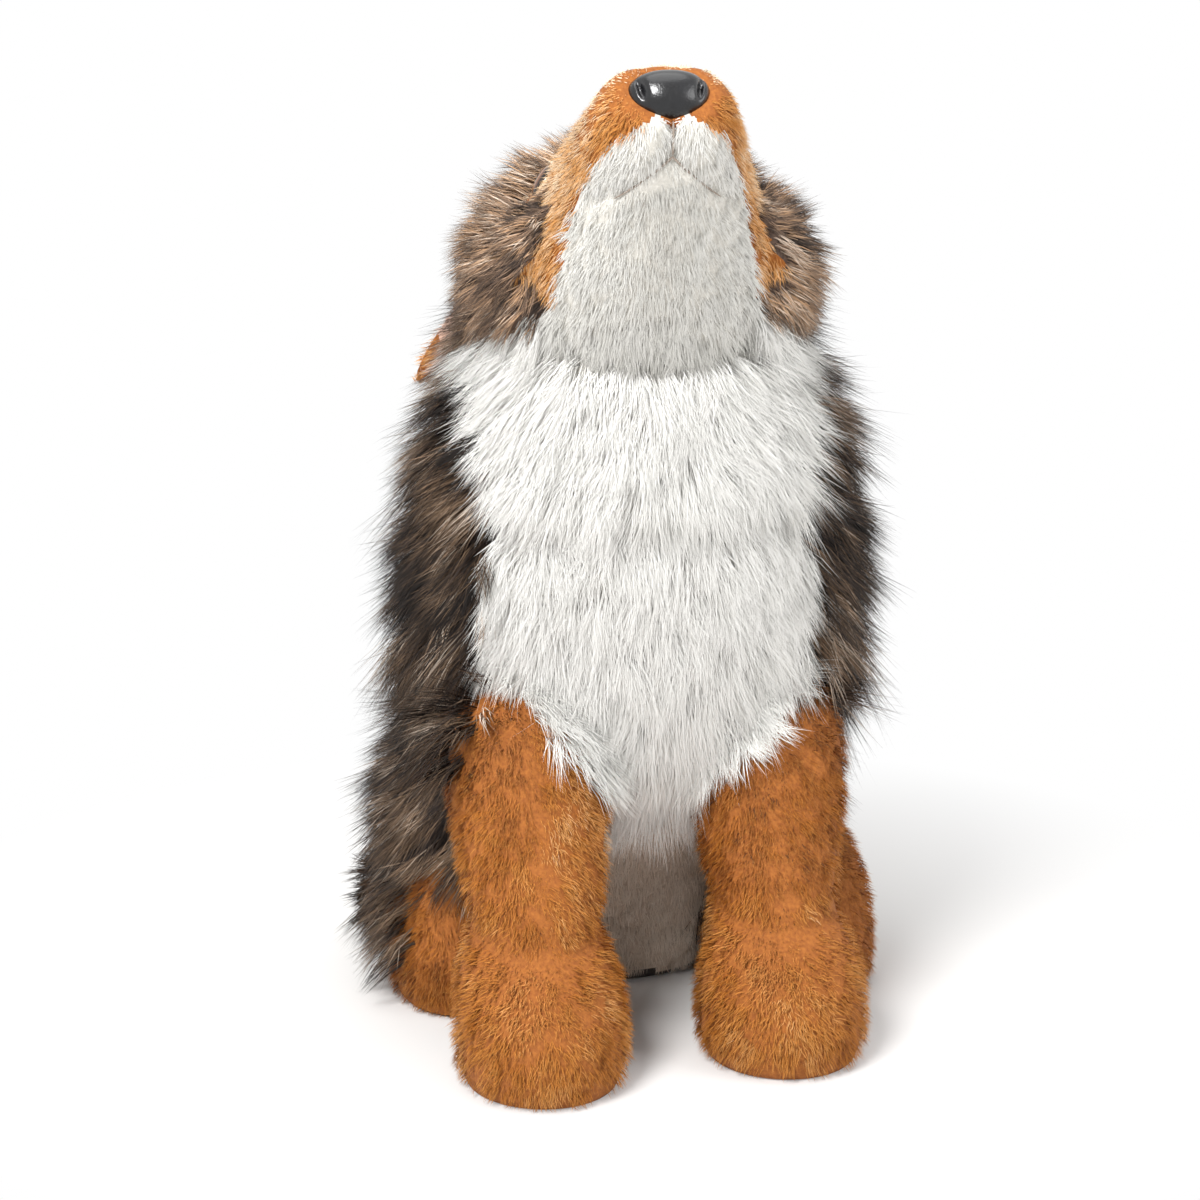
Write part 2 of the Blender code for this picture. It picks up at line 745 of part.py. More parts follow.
def beyond(x, side):
    """A cutter for all that lies on one side of the plane at x, and half a seam's gap more."""
    edge = x - side * SEAM_GAP / 2
    if side > 0:
        return box("beyond", (edge, -FAR, -FAR), (FAR, FAR, FAR))
    return box("beyond", (-FAR, -FAR, -FAR), (edge, FAR, FAR))


def make_forelegs(floor, envelope):
    """Each foreleg has an inner and an outer panel, a paw, a sole and its stuffing."""
    tan, fibre = cloth("tan_plush", TAN), cloth("stuffing_fibre", FIBRE)
    for side, word in ((1, "left"), (-1, "right")):
        x, shift = side * FORELEG_X, side * FORELEG_STAGGER
        form = core("foreleg_core", FORELEG, LEG_SIDES, None, x, shift)
        sole_top = box("sole_top", (-FAR, -FAR, -FAR), (FAR, FAR, SOLE + SEAM_GAP))
        above = box("above", (-FAR, -FAR, SOLE), (FAR, FAR, FAR))
        sole = cut(grown(form, "sole_blank", LEG_PILE), floor, above)
        piece(sole, "foresole_" + word, tan)
        seam = Matrix.Translation((x, FORELEG[2].front + shift, WRIST))
        seam = seam @ Matrix.Rotation(WRIST_TILT, 4, "X")
        skin = cut(shell(form, "foreleg_shell", LEG_PILE), sole_top, envelope)
        for low, high, name in ((-FAR, 0.0, "paw"), (SEAM_GAP, FAR, "leg")):
            part = box("wrist_side", (-FAR, -FAR, low), (FAR, FAR, high))
            part.data.transform(seam)
            cloth_part = keep(copy_of(skin, name), part)
            if name == "paw":
                piece(cloth_part, "forepaw_" + word, tan)
                continue
            inner = copy_of(cloth_part, "inner")
            piece(cut(cloth_part, beyond(x, -side)), "foreleg_outer_" + word, tan)
            piece(cut(inner, beyond(x, side)), "foreleg_inner_" + word, tan)
        fill = cut(copy_of(form, "foreleg_fill"), sole_top, envelope)
        piece(fill, "foreleg_stuffing_" + word, fibre)


def make_hind_legs(floor, envelope):
    """Each hind leg has a furred haunch over a tan foot with its sole."""
    tan = cloth("tan_plush", TAN)
    fur = cloth("coat_fur", COAT)
    fibre = cloth("stuffing_fibre", FIBRE)
    spaces = []
    for side, word in ((1, "left"), (-1, "right")):
        foot_x = side * HIND_FOOT_X + HIND_FOOT_SPLAY
        foot = core("hind_foot_core", HIND_FOOT, FOOT_SIDES, None, foot_x)
        foot_space = grown(foot, "foot_space", LEG_PILE + SEAM_GAP)
        sole_top = box("sole_top", (-FAR, -FAR, -FAR), (FAR, FAR, SOLE + SEAM_GAP))
        above = box("above", (-FAR, -FAR, SOLE), (FAR, FAR, FAR))
        skin = cut(shell(foot, "hind_foot_shell", LEG_PILE), sole_top, envelope)
        sole = cut(grown(foot, "hind_sole_blank", LEG_PILE), floor, above, envelope)
        fill = cut(copy_of(foot, "hind_foot_fill"), sole_top, envelope)
        piece(skin, "hind_foot_" + word, tan)
        piece(sole, "hind_sole_" + word, tan)
        piece(fill, "hind_foot_stuffing_" + word, fibre)
        thigh_x = side * HAUNCH_X - HAUNCH_SHIFT
        thigh = core("haunch_core", HAUNCH, LEG_SIDES, None, thigh_x)
        shaggy = (LOCK_LIFT, LOCK_DROP, downwards)
        coat = cut(shell(thigh, "haunch_shell", HAUNCH_PILE, shaggy), envelope, foot_space, floor)
        piece(coat, "haunch_" + word, fur)
        piece(cut(copy_of(thigh, "haunch_fill"), envelope, foot_space), "haunch_stuffing_" + word, fibre)
        spaces.append(room_for(thigh, "haunch_space", HAUNCH_PILE, shaggy))
        spaces.append(foot_space)
    return spaces


def make_tail(floor, envelope, spaces):
    """The bushy tail: its furred cloth and its stuffing, sewn to the rump."""
    form = tube("tail_core", TAIL)
    skin = shell(form, "tail_shell", TAIL_PILE, (SOFT_LOCK_LIFT, SOFT_LOCK_DROP, downwards))
    piece(cut(skin, envelope, floor, *spaces), "tail_skin", cloth("coat_fur", COAT))
    fill = cut(copy_of(form, "tail_fill"), envelope, *spaces)
    piece(fill, "tail_stuffing", cloth("stuffing_fibre", FIBRE))


def main():
    clear_scene()
    floor = box("floor", (-FAR, -FAR, -FAR), (FAR, FAR, 0.0))
    seat_slab = box("seat_slab", (-FAR, -FAR, -FAR), (FAR, FAR, SOLE + SEAM_GAP))
    torso_form, torso, envelope = make_torso(floor, seat_slab)
    hood_space, jaw_space, skull_space = make_head(torso_form)
    halves(cut(torso["coat"], hood_space, jaw_space), "coat", cloth("coat_fur", COAT))
    piece(cut(torso["ruff"], hood_space, jaw_space), "ruff", cloth("white_fur", WHITE))
    piece(torso["bib"], "bib", cloth("white_fur", WHITE))
    piece(torso["belly"], "belly_panel", cloth("white_plush", WHITE))
    piece(torso["seat"], "seat_panel", cloth("coat_fur", COAT))
    piece(cut(torso["fill"], skull_space), "torso_stuffing", cloth("stuffing_fibre", FIBRE))
    make_ears(hood_space, envelope)
    make_forelegs(floor, envelope)
    spaces = make_hind_legs(floor, envelope)
    make_tail(floor, envelope, spaces)


main()
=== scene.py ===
"""Plush coyote: the looks of the seated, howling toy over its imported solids.

Each cloth is a lofted skin worked out from the same slices as the solids, and its pile is a
field of fine tapered blades rooted on that skin, gathered into locks and combed.
"""

import math
from collections import namedtuple

import bpy
import numpy as np
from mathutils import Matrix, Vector


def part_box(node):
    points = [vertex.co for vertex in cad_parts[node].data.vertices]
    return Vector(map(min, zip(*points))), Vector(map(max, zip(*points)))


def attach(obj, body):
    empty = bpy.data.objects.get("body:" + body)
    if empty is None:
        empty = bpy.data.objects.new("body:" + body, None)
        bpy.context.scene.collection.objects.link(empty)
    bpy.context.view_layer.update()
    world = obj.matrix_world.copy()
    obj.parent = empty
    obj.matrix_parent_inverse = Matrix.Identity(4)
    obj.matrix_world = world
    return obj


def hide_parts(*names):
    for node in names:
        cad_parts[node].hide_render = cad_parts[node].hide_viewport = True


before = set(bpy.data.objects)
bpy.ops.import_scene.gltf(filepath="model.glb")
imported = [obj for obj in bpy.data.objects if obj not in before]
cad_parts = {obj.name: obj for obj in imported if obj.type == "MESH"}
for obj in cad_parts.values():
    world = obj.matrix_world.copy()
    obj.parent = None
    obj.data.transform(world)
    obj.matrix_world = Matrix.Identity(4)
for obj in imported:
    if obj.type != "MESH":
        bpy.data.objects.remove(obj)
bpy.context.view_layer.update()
chance = np.random.default_rng(41)

# The toy's forms: slices of height, half width, front, back, in metres

Form = namedtuple("Form", "slices middle turned place")
# A skin: points and outward directions on a closed grid of rows and columns
Skin = namedtuple("Skin", "points outward")
# A pile: hair length, angle off the cloth's own direction at the root and at the tip, tufts
# to a square millimetre, hairs to a tuft, tuft radius, how far the tips gather, hair width,
# steps along a hair, how far tufts stray from the comb, and how their shades differ
Pile = namedtuple("Pile", "length rise lean density hairs spread gather width steps wander speckle")


def rows_of(*rows):
    return np.array(rows)


LEVEL = np.eye(3)
HEAD_LEAN = math.radians(31)
HEAD_TURN = np.array(
    (
        (1, 0, 0),
        (0, math.cos(HEAD_LEAN), -math.sin(HEAD_LEAN)),
        (0, math.sin(HEAD_LEAN), math.cos(HEAD_LEAN)),
    )
)
HEAD_PLACE = np.array((0.0, -0.083, 0.314))
PACE = 0.008  # each forefoot stands this far behind or ahead of the middle
FLOOR_GAP = 0.0006  # the lowest cloth over the floor
SOLE = 0.004  # cloth below this height is a sole or the seat

TORSO = Form(
    rows_of(
        (-0.016, 0.000, 0.001, 0.001),
        (-0.014, 0.034, -0.027, 0.029),
        (0.024, 0.049, -0.047, 0.041),
        (0.078, 0.055, -0.077, 0.039),
        (0.128, 0.077, -0.107, 0.026),
        (0.180, 0.085, -0.121, 0.010),
        (0.228, 0.077, -0.124, -0.001),
        (0.300, 0.048, -0.107, -0.011),
        (0.318, 0.022, -0.080, -0.025),
        (0.322, 0.000, -0.055, -0.055),
    ),
    0.0,
    LEVEL,
    np.zeros(3),
)
HEAD = Form(
    rows_of(
        (-0.066, 0.000, 0.012, 0.012),
        (-0.062, 0.022, -0.012, 0.032),
        (-0.050, 0.036, -0.022, 0.044),
        (-0.022, 0.052, -0.042, 0.053),
        (0.012, 0.052, -0.045, 0.052),
        (0.042, 0.036, -0.038, 0.034),
        (0.068, 0.0295, -0.030, 0.020),
        (0.090, 0.0245, -0.0245, 0.007),
        (0.0960, 0.0155, -0.0175, 0.0035),
        (0.0970, 0.0000, -0.007, -0.007),
    ),
    0.0,
    HEAD_TURN,
    HEAD_PLACE,
)


def foreleg(side):
    """The stuffed foreleg of one side; the right paw stands ahead of the left."""
    slices = rows_of(
        (-0.016, 0.000, -0.136, -0.136),
        (-0.014, 0.024, -0.165, -0.107),
        (0.018, 0.0360, -0.182, -0.098),
        (0.054, 0.0185, -0.144, -0.095),
        (0.104, 0.0320, -0.131, -0.079),
        (0.144, 0.0290, -0.110, -0.064),
        (0.152, 0.0000, -0.089, -0.089),
    )
    slices[:, 2:] += side * PACE
    return Form(slices, side * 0.0505, LEVEL, np.zeros(3))


def hind_foot(side):
    slices = rows_of(
        (-0.014, 0.000, -0.036, -0.036),
        (-0.012, 0.019, -0.070, 0.001),
        (0.024, 0.0250, -0.078, 0.007),
        (0.064, 0.0150, -0.053, -0.011),
        (0.068, 0.0000, -0.032, -0.032),
    )
    return Form(slices, side * 0.0795 + 0.0045, LEVEL, np.zeros(3))


def haunch(side):
    slices = rows_of(
        (0.008, 0.000, -0.003, -0.003),
        (0.010, 0.018, -0.039, 0.033),
        (0.064, 0.0340, -0.065, 0.049),
        (0.122, 0.018, -0.045, 0.019),
        (0.126, 0.000, -0.013, -0.013),
    )
    return Form(slices, side * 0.058 - 0.004, LEVEL, np.zeros(3))


def unit(vectors):
    return vectors / np.maximum(np.linalg.norm(vectors, axis=-1, keepdims=True), 1e-12)


def spline(rows, along):
    """A uniform cubic B-spline: each value blends four neighbouring rows with the weights
    (1-t)^3/6, (3t^3-6t^2+4)/6, (-3t^3+3t^2+3t+1)/6 and t^3/6. A mirrored row beyond each end
    makes it start and stop on the first and the last row."""
    rows = np.vstack((2 * rows[0] - rows[1], rows, 2 * rows[-1] - rows[-2]))
    first = np.clip(np.floor(along).astype(int), 0, len(rows) - 4)
    t = (along - first)[:, None]
    a, b, c, d = (rows[first + k] for k in range(4))
    blend = a * (1 - t) ** 3 + b * (3 * t**3 - 6 * t**2 + 4)
    return (blend + c * (-3 * t**3 + 3 * t**2 + 3 * t + 1) + d * t**3) / 6


def turns(number):
    """Even turns of a ring, for points in rows, rings and coordinates."""
    return np.linspace(0, 2 * np.pi, number, endpoint=False)[None, :, None]


def outward_of(points):
    """The direction square to a grid: the cross product of its steps round and along."""
    round_step = np.roll(points, -1, axis=1) - np.roll(points, 1, axis=1)
    along_step = np.gradient(points, axis=0)
    outward = unit(np.cross(round_step, along_step))
    outward[0] = outward[1].mean(axis=0)
    outward[-1] = outward[-2].mean(axis=0)
    return unit(outward)


def loft(form, rows, columns, off, square=1.0):
    """A skin round a form: each row is an ellipse (cos^p, sin^p of the turn) between the
    slice's front and back, pushed out along its own direction by off, which may be a
    function of the form's own coordinates."""
    along = np.linspace(0, len(form.slices) - 1, rows)
    turn = np.linspace(0, 2 * np.pi, columns, endpoint=False)
    height, half, front, back = spline(form.slices, along).T[:, :, None]
    across = np.sign(np.cos(turn)) * np.abs(np.cos(turn)) ** square
    deep = np.sign(np.sin(turn)) * np.abs(np.sin(turn)) ** square
    points = np.stack(
        (
            form.middle + half * across,
            (front + back) / 2 + (back - front) / 2 * deep,
            height + 0 * across,
        ),
        axis=-1,
    )
    outward = outward_of(points)
    push = off(points) if callable(off) else off
    points = points + outward * np.reshape(push, np.shape(push) + (1,) * (3 - np.ndim(push)))
    outward = outward_of(points)
    return Skin(points @ form.turned.T + form.place, outward @ form.turned.T)


def profile(form, z, samples):
    """A form's heights, and its half width, front and back at the height z."""
    along = np.linspace(0, len(form.slices) - 1, samples)
    height, *sides = spline(form.slices, along).T
    return height, *(np.interp(z, height, side) for side in sides)


def inside(form, points, grow):
    """Which points lie within a form swollen by grow: the ellipse test at their height."""
    local = (points - form.place) @ form.turned
    z = local[..., 2]
    height, half, front, back = profile(form, z, 400)
    x = (local[..., 0] - form.middle) / (half + grow + 1e-6)
    y = (local[..., 1] - (front + back) / 2) / ((back - front) / 2 + grow + 1e-6)
    return (x * x + y * y < 1) & (z > height[0] - grow) & (z < height[-1] + grow)


def centres(skin):
    """The middle of each face of a skin."""
    p = skin.points
    after = np.roll(p, -1, axis=1)
    return (p[:-1] + p[1:] + after[:-1] + after[1:]) / 4


def mesh_of(name, points, corners, counts, material, normals=None, uv=None):
    """A mesh object from whole arrays: its points, its faces' corners and their counts."""
    mesh = bpy.data.meshes.new(name)
    mesh.vertices.add(len(points))
    mesh.vertices.foreach_set("co", points.astype(np.float32).ravel())
    mesh.loops.add(len(corners))
    mesh.loops.foreach_set("vertex_index", corners.astype(np.int32))
    mesh.polygons.add(len(counts))
    starts = np.concatenate(([0], np.cumsum(counts)[:-1])).astype(np.int32)
    mesh.polygons.foreach_set("loop_start", starts)
    if uv is not None:
        layer = mesh.uv_layers.new(name="OFBake")
        layer.uv.foreach_set("vector", uv.astype(np.float32).ravel())
    mesh.update(calc_edges=True)
    mesh.polygons.foreach_set("use_smooth", np.ones(len(counts), bool))
    if normals is not None:
        mesh.normals_split_custom_set_from_vertices(normals.astype(np.float32))
    mesh.materials.append(material)
    obj = bpy.data.objects.new(name, mesh)
    bpy.context.scene.collection.objects.link(obj)
    return obj


def placed(obj, slot, *nodes, fill=None):
    """Rides on the toy's one body and stands for its nodes, which it hides. The slot is not used."""
    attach(obj, "root")
    if nodes:
        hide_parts(*nodes)
    return obj


def cloth_of(name, skin, where, material):
    """The backing cloth of one panel: the faces of a skin that its mask keeps."""
    rows, columns = skin.points.shape[:2]
    index = np.arange(rows * columns).reshape(rows, columns)
    after = np.roll(index, -1, axis=1)
    quads = np.stack((index[:-1], after[:-1], after[1:], index[1:]), axis=-1)[where]
    kept, corners = np.unique(quads, return_inverse=True)
    points = skin.points.reshape(-1, 3)[kept]
    return mesh_of(name, points, corners.ravel(), np.full(len(quads), 4), material)


# Colours and materials


def colour(code):
    """An sRGB hex colour in linear light, as Blender's sockets take it."""
    parts = np.array([int(code[k : k + 2], 16) for k in (1, 3, 5)]) / 255
    linear = np.where(parts <= 0.04045, parts / 12.92, ((parts + 0.055) / 1.055) ** 2.4)
    return (*linear, 1.0)


def socket_of(node, key):
    """An input by its name, or by its number as n0, n1 and so on."""
    if key[0] == "n" and key[1:].isdigit():
        return node.inputs[int(key[1:])]
    return node.inputs[key.replace("_", " ")]


def add(tree, kind, settings=None, **links):
    """Adds a node with its settings and its inputs, which are values or other outputs."""
    node = tree.nodes.new(kind)
    for key, value in (settings or {}).items():
        setattr(node, key, value)
    for key, value in links.items():
        socket = socket_of(node, key)
        if isinstance(value, bpy.types.NodeSocket):
            tree.links.new(value, socket)
        else:
            socket.default_value = value
    return node


def shaded(name):
    """A new material, its node tree and the Principled shader on its output."""
    material = bpy.data.materials.new(name)
    material.use_nodes = True
    tree = material.node_tree
    return material, tree, tree.nodes["Principled BSDF"]


def ramp_of(tree, factor, *stops):
    """A colour ramp through (place, hex colour) stops."""
    node = add(tree, "ShaderNodeValToRGB", n0=factor)
    band = node.color_ramp
    for place, code in stops[1:-1]:
        band.elements.new(place).color = colour(code)
    band.elements[0].position, band.elements[0].color = stops[0][0], colour(stops[0][1])
    band.elements[-1].position, band.elements[-1].color = stops[-1][0], colour(stops[-1][1])
    return node.outputs["Color"]


def tinted(tree, share, under, code):
    """The colour under, turned to a hex colour by a share from 0 to 1."""
    node = add(tree, "ShaderNodeMix", {"data_type": "RGBA"})
    tree.links.new(share, node.inputs["Factor"])
    tree.links.new(under, node.inputs[6])
    node.inputs[7].default_value = colour(code)
    return node.outputs[2]


def pile_material(name, shades, root, tip, root_share, tip_share):
    """Faux fur of acrylic fibre, knitted and brushed: U of the piece's own map is the hair's
    own shade and V runs from its root to its tip, so each hair takes the root's colour where
    it is deep and the tip's colour at its end."""
    material, tree, shader = shaded(name)
    own = add(tree, "ShaderNodeUVMap", {"uv_map": "OFBake"})
    parts = add(tree, "ShaderNodeSeparateXYZ", n0=own.outputs["UV"])
    body = ramp_of(tree, parts.outputs["X"], *shades)
    deep = ramp_of(tree, parts.outputs["Y"], (0.0, "#FFFFFF"), (root_share, "#000000"))
    sunk = tinted(tree, deep, body, root)
    ends = ramp_of(tree, parts.outputs["Y"], (1 - tip_share, "#000000"), (1.0, "#FFFFFF"))
    tree.links.new(tinted(tree, ends, sunk, tip), shader.inputs["Base Color"])
    shader.inputs["Roughness"].default_value = 0.62
    shader.inputs["Specular IOR Level"].default_value = 0.25
    return material


def cloth_material(name, dark, light, grain_mm=1.6):
    """Knitted backing seen between the hairs: mottled at the size of a tuft, with a soft
    bump, on Object coordinates in metres."""
    material, tree, shader = shaded(name)
    where = add(tree, "ShaderNodeTexCoord").outputs["Object"]
    noise = add(tree, "ShaderNodeTexNoise", Vector=where, Scale=1000 / grain_mm, Detail=3.0)
    tint = ramp_of(tree, noise.outputs["Fac"], (0.3, dark), (0.7, light))
    tree.links.new(tint, shader.inputs["Base Color"])
    bump = add(tree, "ShaderNodeBump", Height=noise.outputs["Fac"], Strength=0.5, Distance=0.0006)
    tree.links.new(bump.outputs["Normal"], shader.inputs["Normal"])
    shader.inputs["Roughness"].default_value = 0.9
    return material


COAT_PILE = pile_material(
    "coat long pile, black tipped acrylic",
    ((0.0, "#1E1A18"), (0.28, "#3D322C"), (0.52, "#66523F"), (0.78, "#967B64"), (1.0, "#CFBFAE")),
    "#3E322B", "#1B1716", 0.30, 0.30,
)
HOOD_PILE = pile_material(
    "hood medium pile, black tipped acrylic",
    ((0.0, "#3A312C"), (0.28, "#725D4E"), (0.58, "#A98B72"), (0.82, "#CDA27A"), (1.0, "#E6D2BE")),
    "#7D6657", "#2A2523", 0.30, 0.34,
)
WHITE_PILE = pile_material(
    "white long pile acrylic",
    ((0.0, "#A8978A"), (0.12, "#C8C5BE"), (0.30, "#DAD9D3"), (0.60, "#ECEBE7"), (1.0, "#FAF9F6")),
    "#DCD9D2", "#F3F2EF", 0.40, 0.20,
)
TAN_PILE = pile_material(
    "tan short pile acrylic",
    (
        (0.0, "#15110F"), (0.08, "#86491A"), (0.32, "#AB6522"),
        (0.55, "#C47F38"), (0.78, "#DCA264"), (1.0, "#F4DFC0"),
    ),
    "#8E501D", "#D2964D", 0.45, 0.28,
)
EAR_PILE = pile_material(
    "ear lining short pale pile",
    ((0.0, "#C9A08C"), (1.0, "#E9D2C4")),
    "#C89C88", "#F2E4DA", 0.5, 0.3,
)
# The belly is the white plush painted darker and warmer: painted shade between the legs, with the
# warm light thrown up from the tan legs painted in
BELLY_SHADED_PILE = pile_material(
    "white short pile acrylic in painted warm belly shade",
    ((0.0, "#CDB6A0"), (1.0, "#EFE3D6")),
    "#D3BDA8", "#EFE4D9", 0.4, 0.2,
)
DARK_CLOTH = cloth_material("dark knitted backing", "#1C1816", "#3A2E27")
HOOD_CLOTH = cloth_material("brown knitted backing", "#3A2F29", "#6A5548")
WHITE_CLOTH = cloth_material("white knitted backing", "#B9B6AE", "#CBC8C1")
# the white backing in the belly's painted warm shade
BELLY_SHADED_CLOTH = cloth_material("white knitted backing in painted warm belly shade", "#B3A08F", "#C6B4A3")
TAN_CLOTH = cloth_material("tan knitted backing", "#834817", "#A06024")
EAR_CLOTH = cloth_material("pale ear backing", "#B08874", "#D0AE9C")

# Each fur fabric: its backing and its pile
DARK = DARK_CLOTH, COAT_PILE
HOODED = HOOD_CLOTH, HOOD_PILE
WHITE = WHITE_CLOTH, WHITE_PILE
# the white plush in the belly's painted warm shade
SHADED_WARM_WHITE = BELLY_SHADED_CLOTH, BELLY_SHADED_PILE
TAN = TAN_CLOTH, TAN_PILE
PALE = EAR_CLOTH, EAR_PILE


# Pile


def scattered(skin, where, density):
    """Tuft roots over the masked faces, by area: a place is the bilinear blend of its face's
    four corners. Returns the roots and the outward directions there."""
    p, n = skin.points, skin.outward
    corners = [(p[:-1], n[:-1]), (np.roll(p, -1, 1)[:-1], np.roll(n, -1, 1)[:-1])]
    corners += [(np.roll(p, -1, 1)[1:], np.roll(n, -1, 1)[1:]), (p[1:], n[1:])]
    corners = [(a[where], b[where]) for a, b in corners]
    (a, _), (b, _), (c, _), (d, _) = corners
    area = np.linalg.norm(np.cross(c - a, d - b), axis=1) / 2
    total = np.cumsum(area)
    number = int(total[-1] * 1e6 * density)
    drawn = np.searchsorted(total, chance.random(number) * total[-1])
    s, t = chance.random((2, number, 1))
    weights = ((1 - s) * (1 - t), s * (1 - t), s * t, (1 - s) * t)
    roots = sum(w * corner[0][drawn] for w, corner in zip(weights, corners))
    outward = unit(sum(w * corner[1][drawn] for w, corner in zip(weights, corners)))
    return roots, outward


def mottle(points, size):
    """A soft patchy value round 0.5: six crossed waves of about that size in metres."""
    ways = unit(np.random.default_rng(5).normal(size=(6, 3)))
    phases = points @ ways.T * (2 * np.pi / size) * (0.7 + 0.12 * np.arange(6)) + np.arange(6)
    return 0.5 + np.sin(phases).sum(axis=1) / 8


def hairs(name, roots, outward, comb, shade, growth, pile, material):
    """Tapered blades in tufts. Each hair starts one way and ends another, as the curve
    root + length*(start*(s - s^2/2) + 1.25*end*s^2/2), whose width shrinks as (1-s)^0.8. A
    tuft's hairs draw together towards its tip by the pile's gather, as s^1.5. The blades'
    normals are nearly the cloth's own, so the pile shades softly."""
    tufts, per = len(roots), pile.hairs
    comb = unit(comb - outward * (comb * outward).sum(axis=1, keepdims=True))
    aside = np.cross(outward, comb)
    swing = chance.normal(0, pile.wander, (tufts, 1))
    comb = unit(comb * np.cos(swing) + aside * np.sin(swing))
    aside = np.cross(outward, comb)
    length = pile.length * growth[:, None] * np.exp(chance.normal(0, 0.12, (tufts, 1)))
    rise = pile.rise + chance.normal(0, 0.10, (tufts, 1))
    lean = pile.lean + chance.normal(0, 0.12, (tufts, 1))
    start = outward * np.cos(rise) + comb * np.sin(rise)
    end = outward * np.cos(lean) + comb * np.sin(lean)

    def spread_over(values):
        return np.repeat(values, per, axis=0)

    radius = pile.spread * np.sqrt(chance.random((tufts * per, 1)))
    angle = chance.random((tufts * per, 1)) * 2 * np.pi
    outward, comb, aside = spread_over(outward), spread_over(comb), spread_over(aside)
    offset = comb * radius * np.cos(angle) + aside * radius * np.sin(angle)
    own = length.repeat(per, axis=0) * (0.82 + 0.3 * chance.random((tufts * per, 1)))
    stray = chance.normal(0, 0.09, (tufts * per, 3))
    start = unit(spread_over(start) + stray)
    end = unit(spread_over(end) + stray * 1.5)
    base = spread_over(roots) + offset - outward * 0.0008
    share = np.linspace(0, 1, pile.steps + 1)[None, :, None]
    path = base[:, None] + own[:, None] * (
        start[:, None] * (share - share**2 / 2) + end[:, None] * (share**2 / 2) * 1.25
    )
    path -= offset[:, None] * pile.gather * share**1.5
    heading = unit(np.gradient(path, axis=1))
    flat = unit(np.cross(heading, outward[:, None]))
    roll = chance.uniform(-0.75, 0.75, (tufts * per, 1, 1))
    flat = flat * np.cos(roll) + np.cross(heading, flat) * np.sin(roll)
    width = pile.width / 2 * (1 - share) ** 0.8
    left, right = path - flat * width, path + flat * width
    # rows of two points up the blade, then its tip
    points = np.stack((left, right), axis=2)[:, :-1].reshape(len(path), -1, 3)
    points = np.concatenate((points, path[:, -1:]), axis=1)
    points[..., 2] = np.maximum(points[..., 2], 0.0005)
    each = points.shape[1]
    rows = np.arange(pile.steps - 1)[:, None] * 2
    quads = (rows + np.array((0, 1, 3, 2))).ravel()
    pattern = np.concatenate((quads, (each - 3, each - 2, each - 1)))
    corners = (np.arange(len(path))[:, None] * each + pattern).ravel()
    counts = np.tile([4] * (pile.steps - 1) + [3], len(path))
    drift = chance.normal(0, pile.speckle, tufts).repeat(per)
    drift += chance.normal(0, pile.speckle, tufts * per)
    tone = np.clip(shade.repeat(per) + drift, 0.012, 0.988)
    sideways = np.tile((-0.002, 0.002), pile.steps).tolist() + [0.0]
    upwards = np.repeat(share[0, :-1, 0], 2).tolist() + [1.0]
    u = (tone[:, None] + np.array(sideways)[pattern]).ravel()
    v = np.tile(np.array(upwards)[pattern] * 0.98 + 0.01, len(path))
    lit = unit(outward[:, None] + 0.25 * heading[:, :1]).repeat(each, axis=1)
    uv = np.stack((u, v), 1)
    return mesh_of(name, points.reshape(-1, 3), corners, counts, material, lit.reshape(-1, 3), uv)


def furred(
    name, skin, where, pile, comb, shade, fabric, fur, slot, nodes, fill, hidden=(), growth=None
):
    """One panel of the toy: its backing cloth with its pile on it, in two pieces.

    comb and shade are functions of the roots; hidden are (form, grow) pairs whose inside
    carries no hair, because another part of the toy lies against it there."""
    placed(cloth_of(name + "_cloth", skin, where, fabric), slot, *nodes, fill=fill)
    roots, outward = scattered(skin, where, pile.density)
    open_air = roots[:, 2] > 0.0025
    for form, grow in hidden:
        open_air &= ~inside(form, roots, grow)
    roots, outward = roots[open_air], outward[open_air]
    grown = growth(roots) if growth else np.ones(len(roots))
    way = comb(roots, outward)
    placed(hairs(name + "_pile", roots, outward, way, shade(roots), grown, pile, fur), slot)


def downwards(roots, outward):
    return np.tile((0.0, 0.0, -1.0), (len(roots), 1))


def down_and_out(roots, outward):
    """Down, and away from the toy's middle plane, swaying in soft waves 3 cm long."""
    way = np.zeros_like(roots)
    way[:, 0] = roots[:, 0] * 6 + 0.9 * (mottle(roots, 0.030) - 0.5)
    way[:, 2] = -1
    return way


def forwards_and_down(roots, outward):
    """Over the front of a leg's top."""
    return np.stack((1.5 * roots[:, 0], np.full(len(roots), -0.8), np.full(len(roots), -1.0)), axis=1)


def towards_nape(roots, outward):
    return np.tile(-HEAD_TURN[:, 2], (len(roots), 1))


def hood_comb(roots, outward):
    """Towards the nape, and away from the middle plane."""
    way = towards_nape(roots, outward)
    way[:, 0] += roots[:, 0] * 10
    return way


def fringe(name, skin, where, pile, comb, shade, fur, slot):
    """Hair alone: the edge of a shaggy panel where it hangs over its neighbour."""
    roots, outward = scattered(skin, where, pile.density)
    way, grown = comb(roots, outward), np.ones(len(roots))
    placed(hairs(name, roots, outward, way, shade(roots), grown, pile, fur), slot)


def even(value):
    """The same shade everywhere."""
    return lambda roots: np.full(len(roots), value)


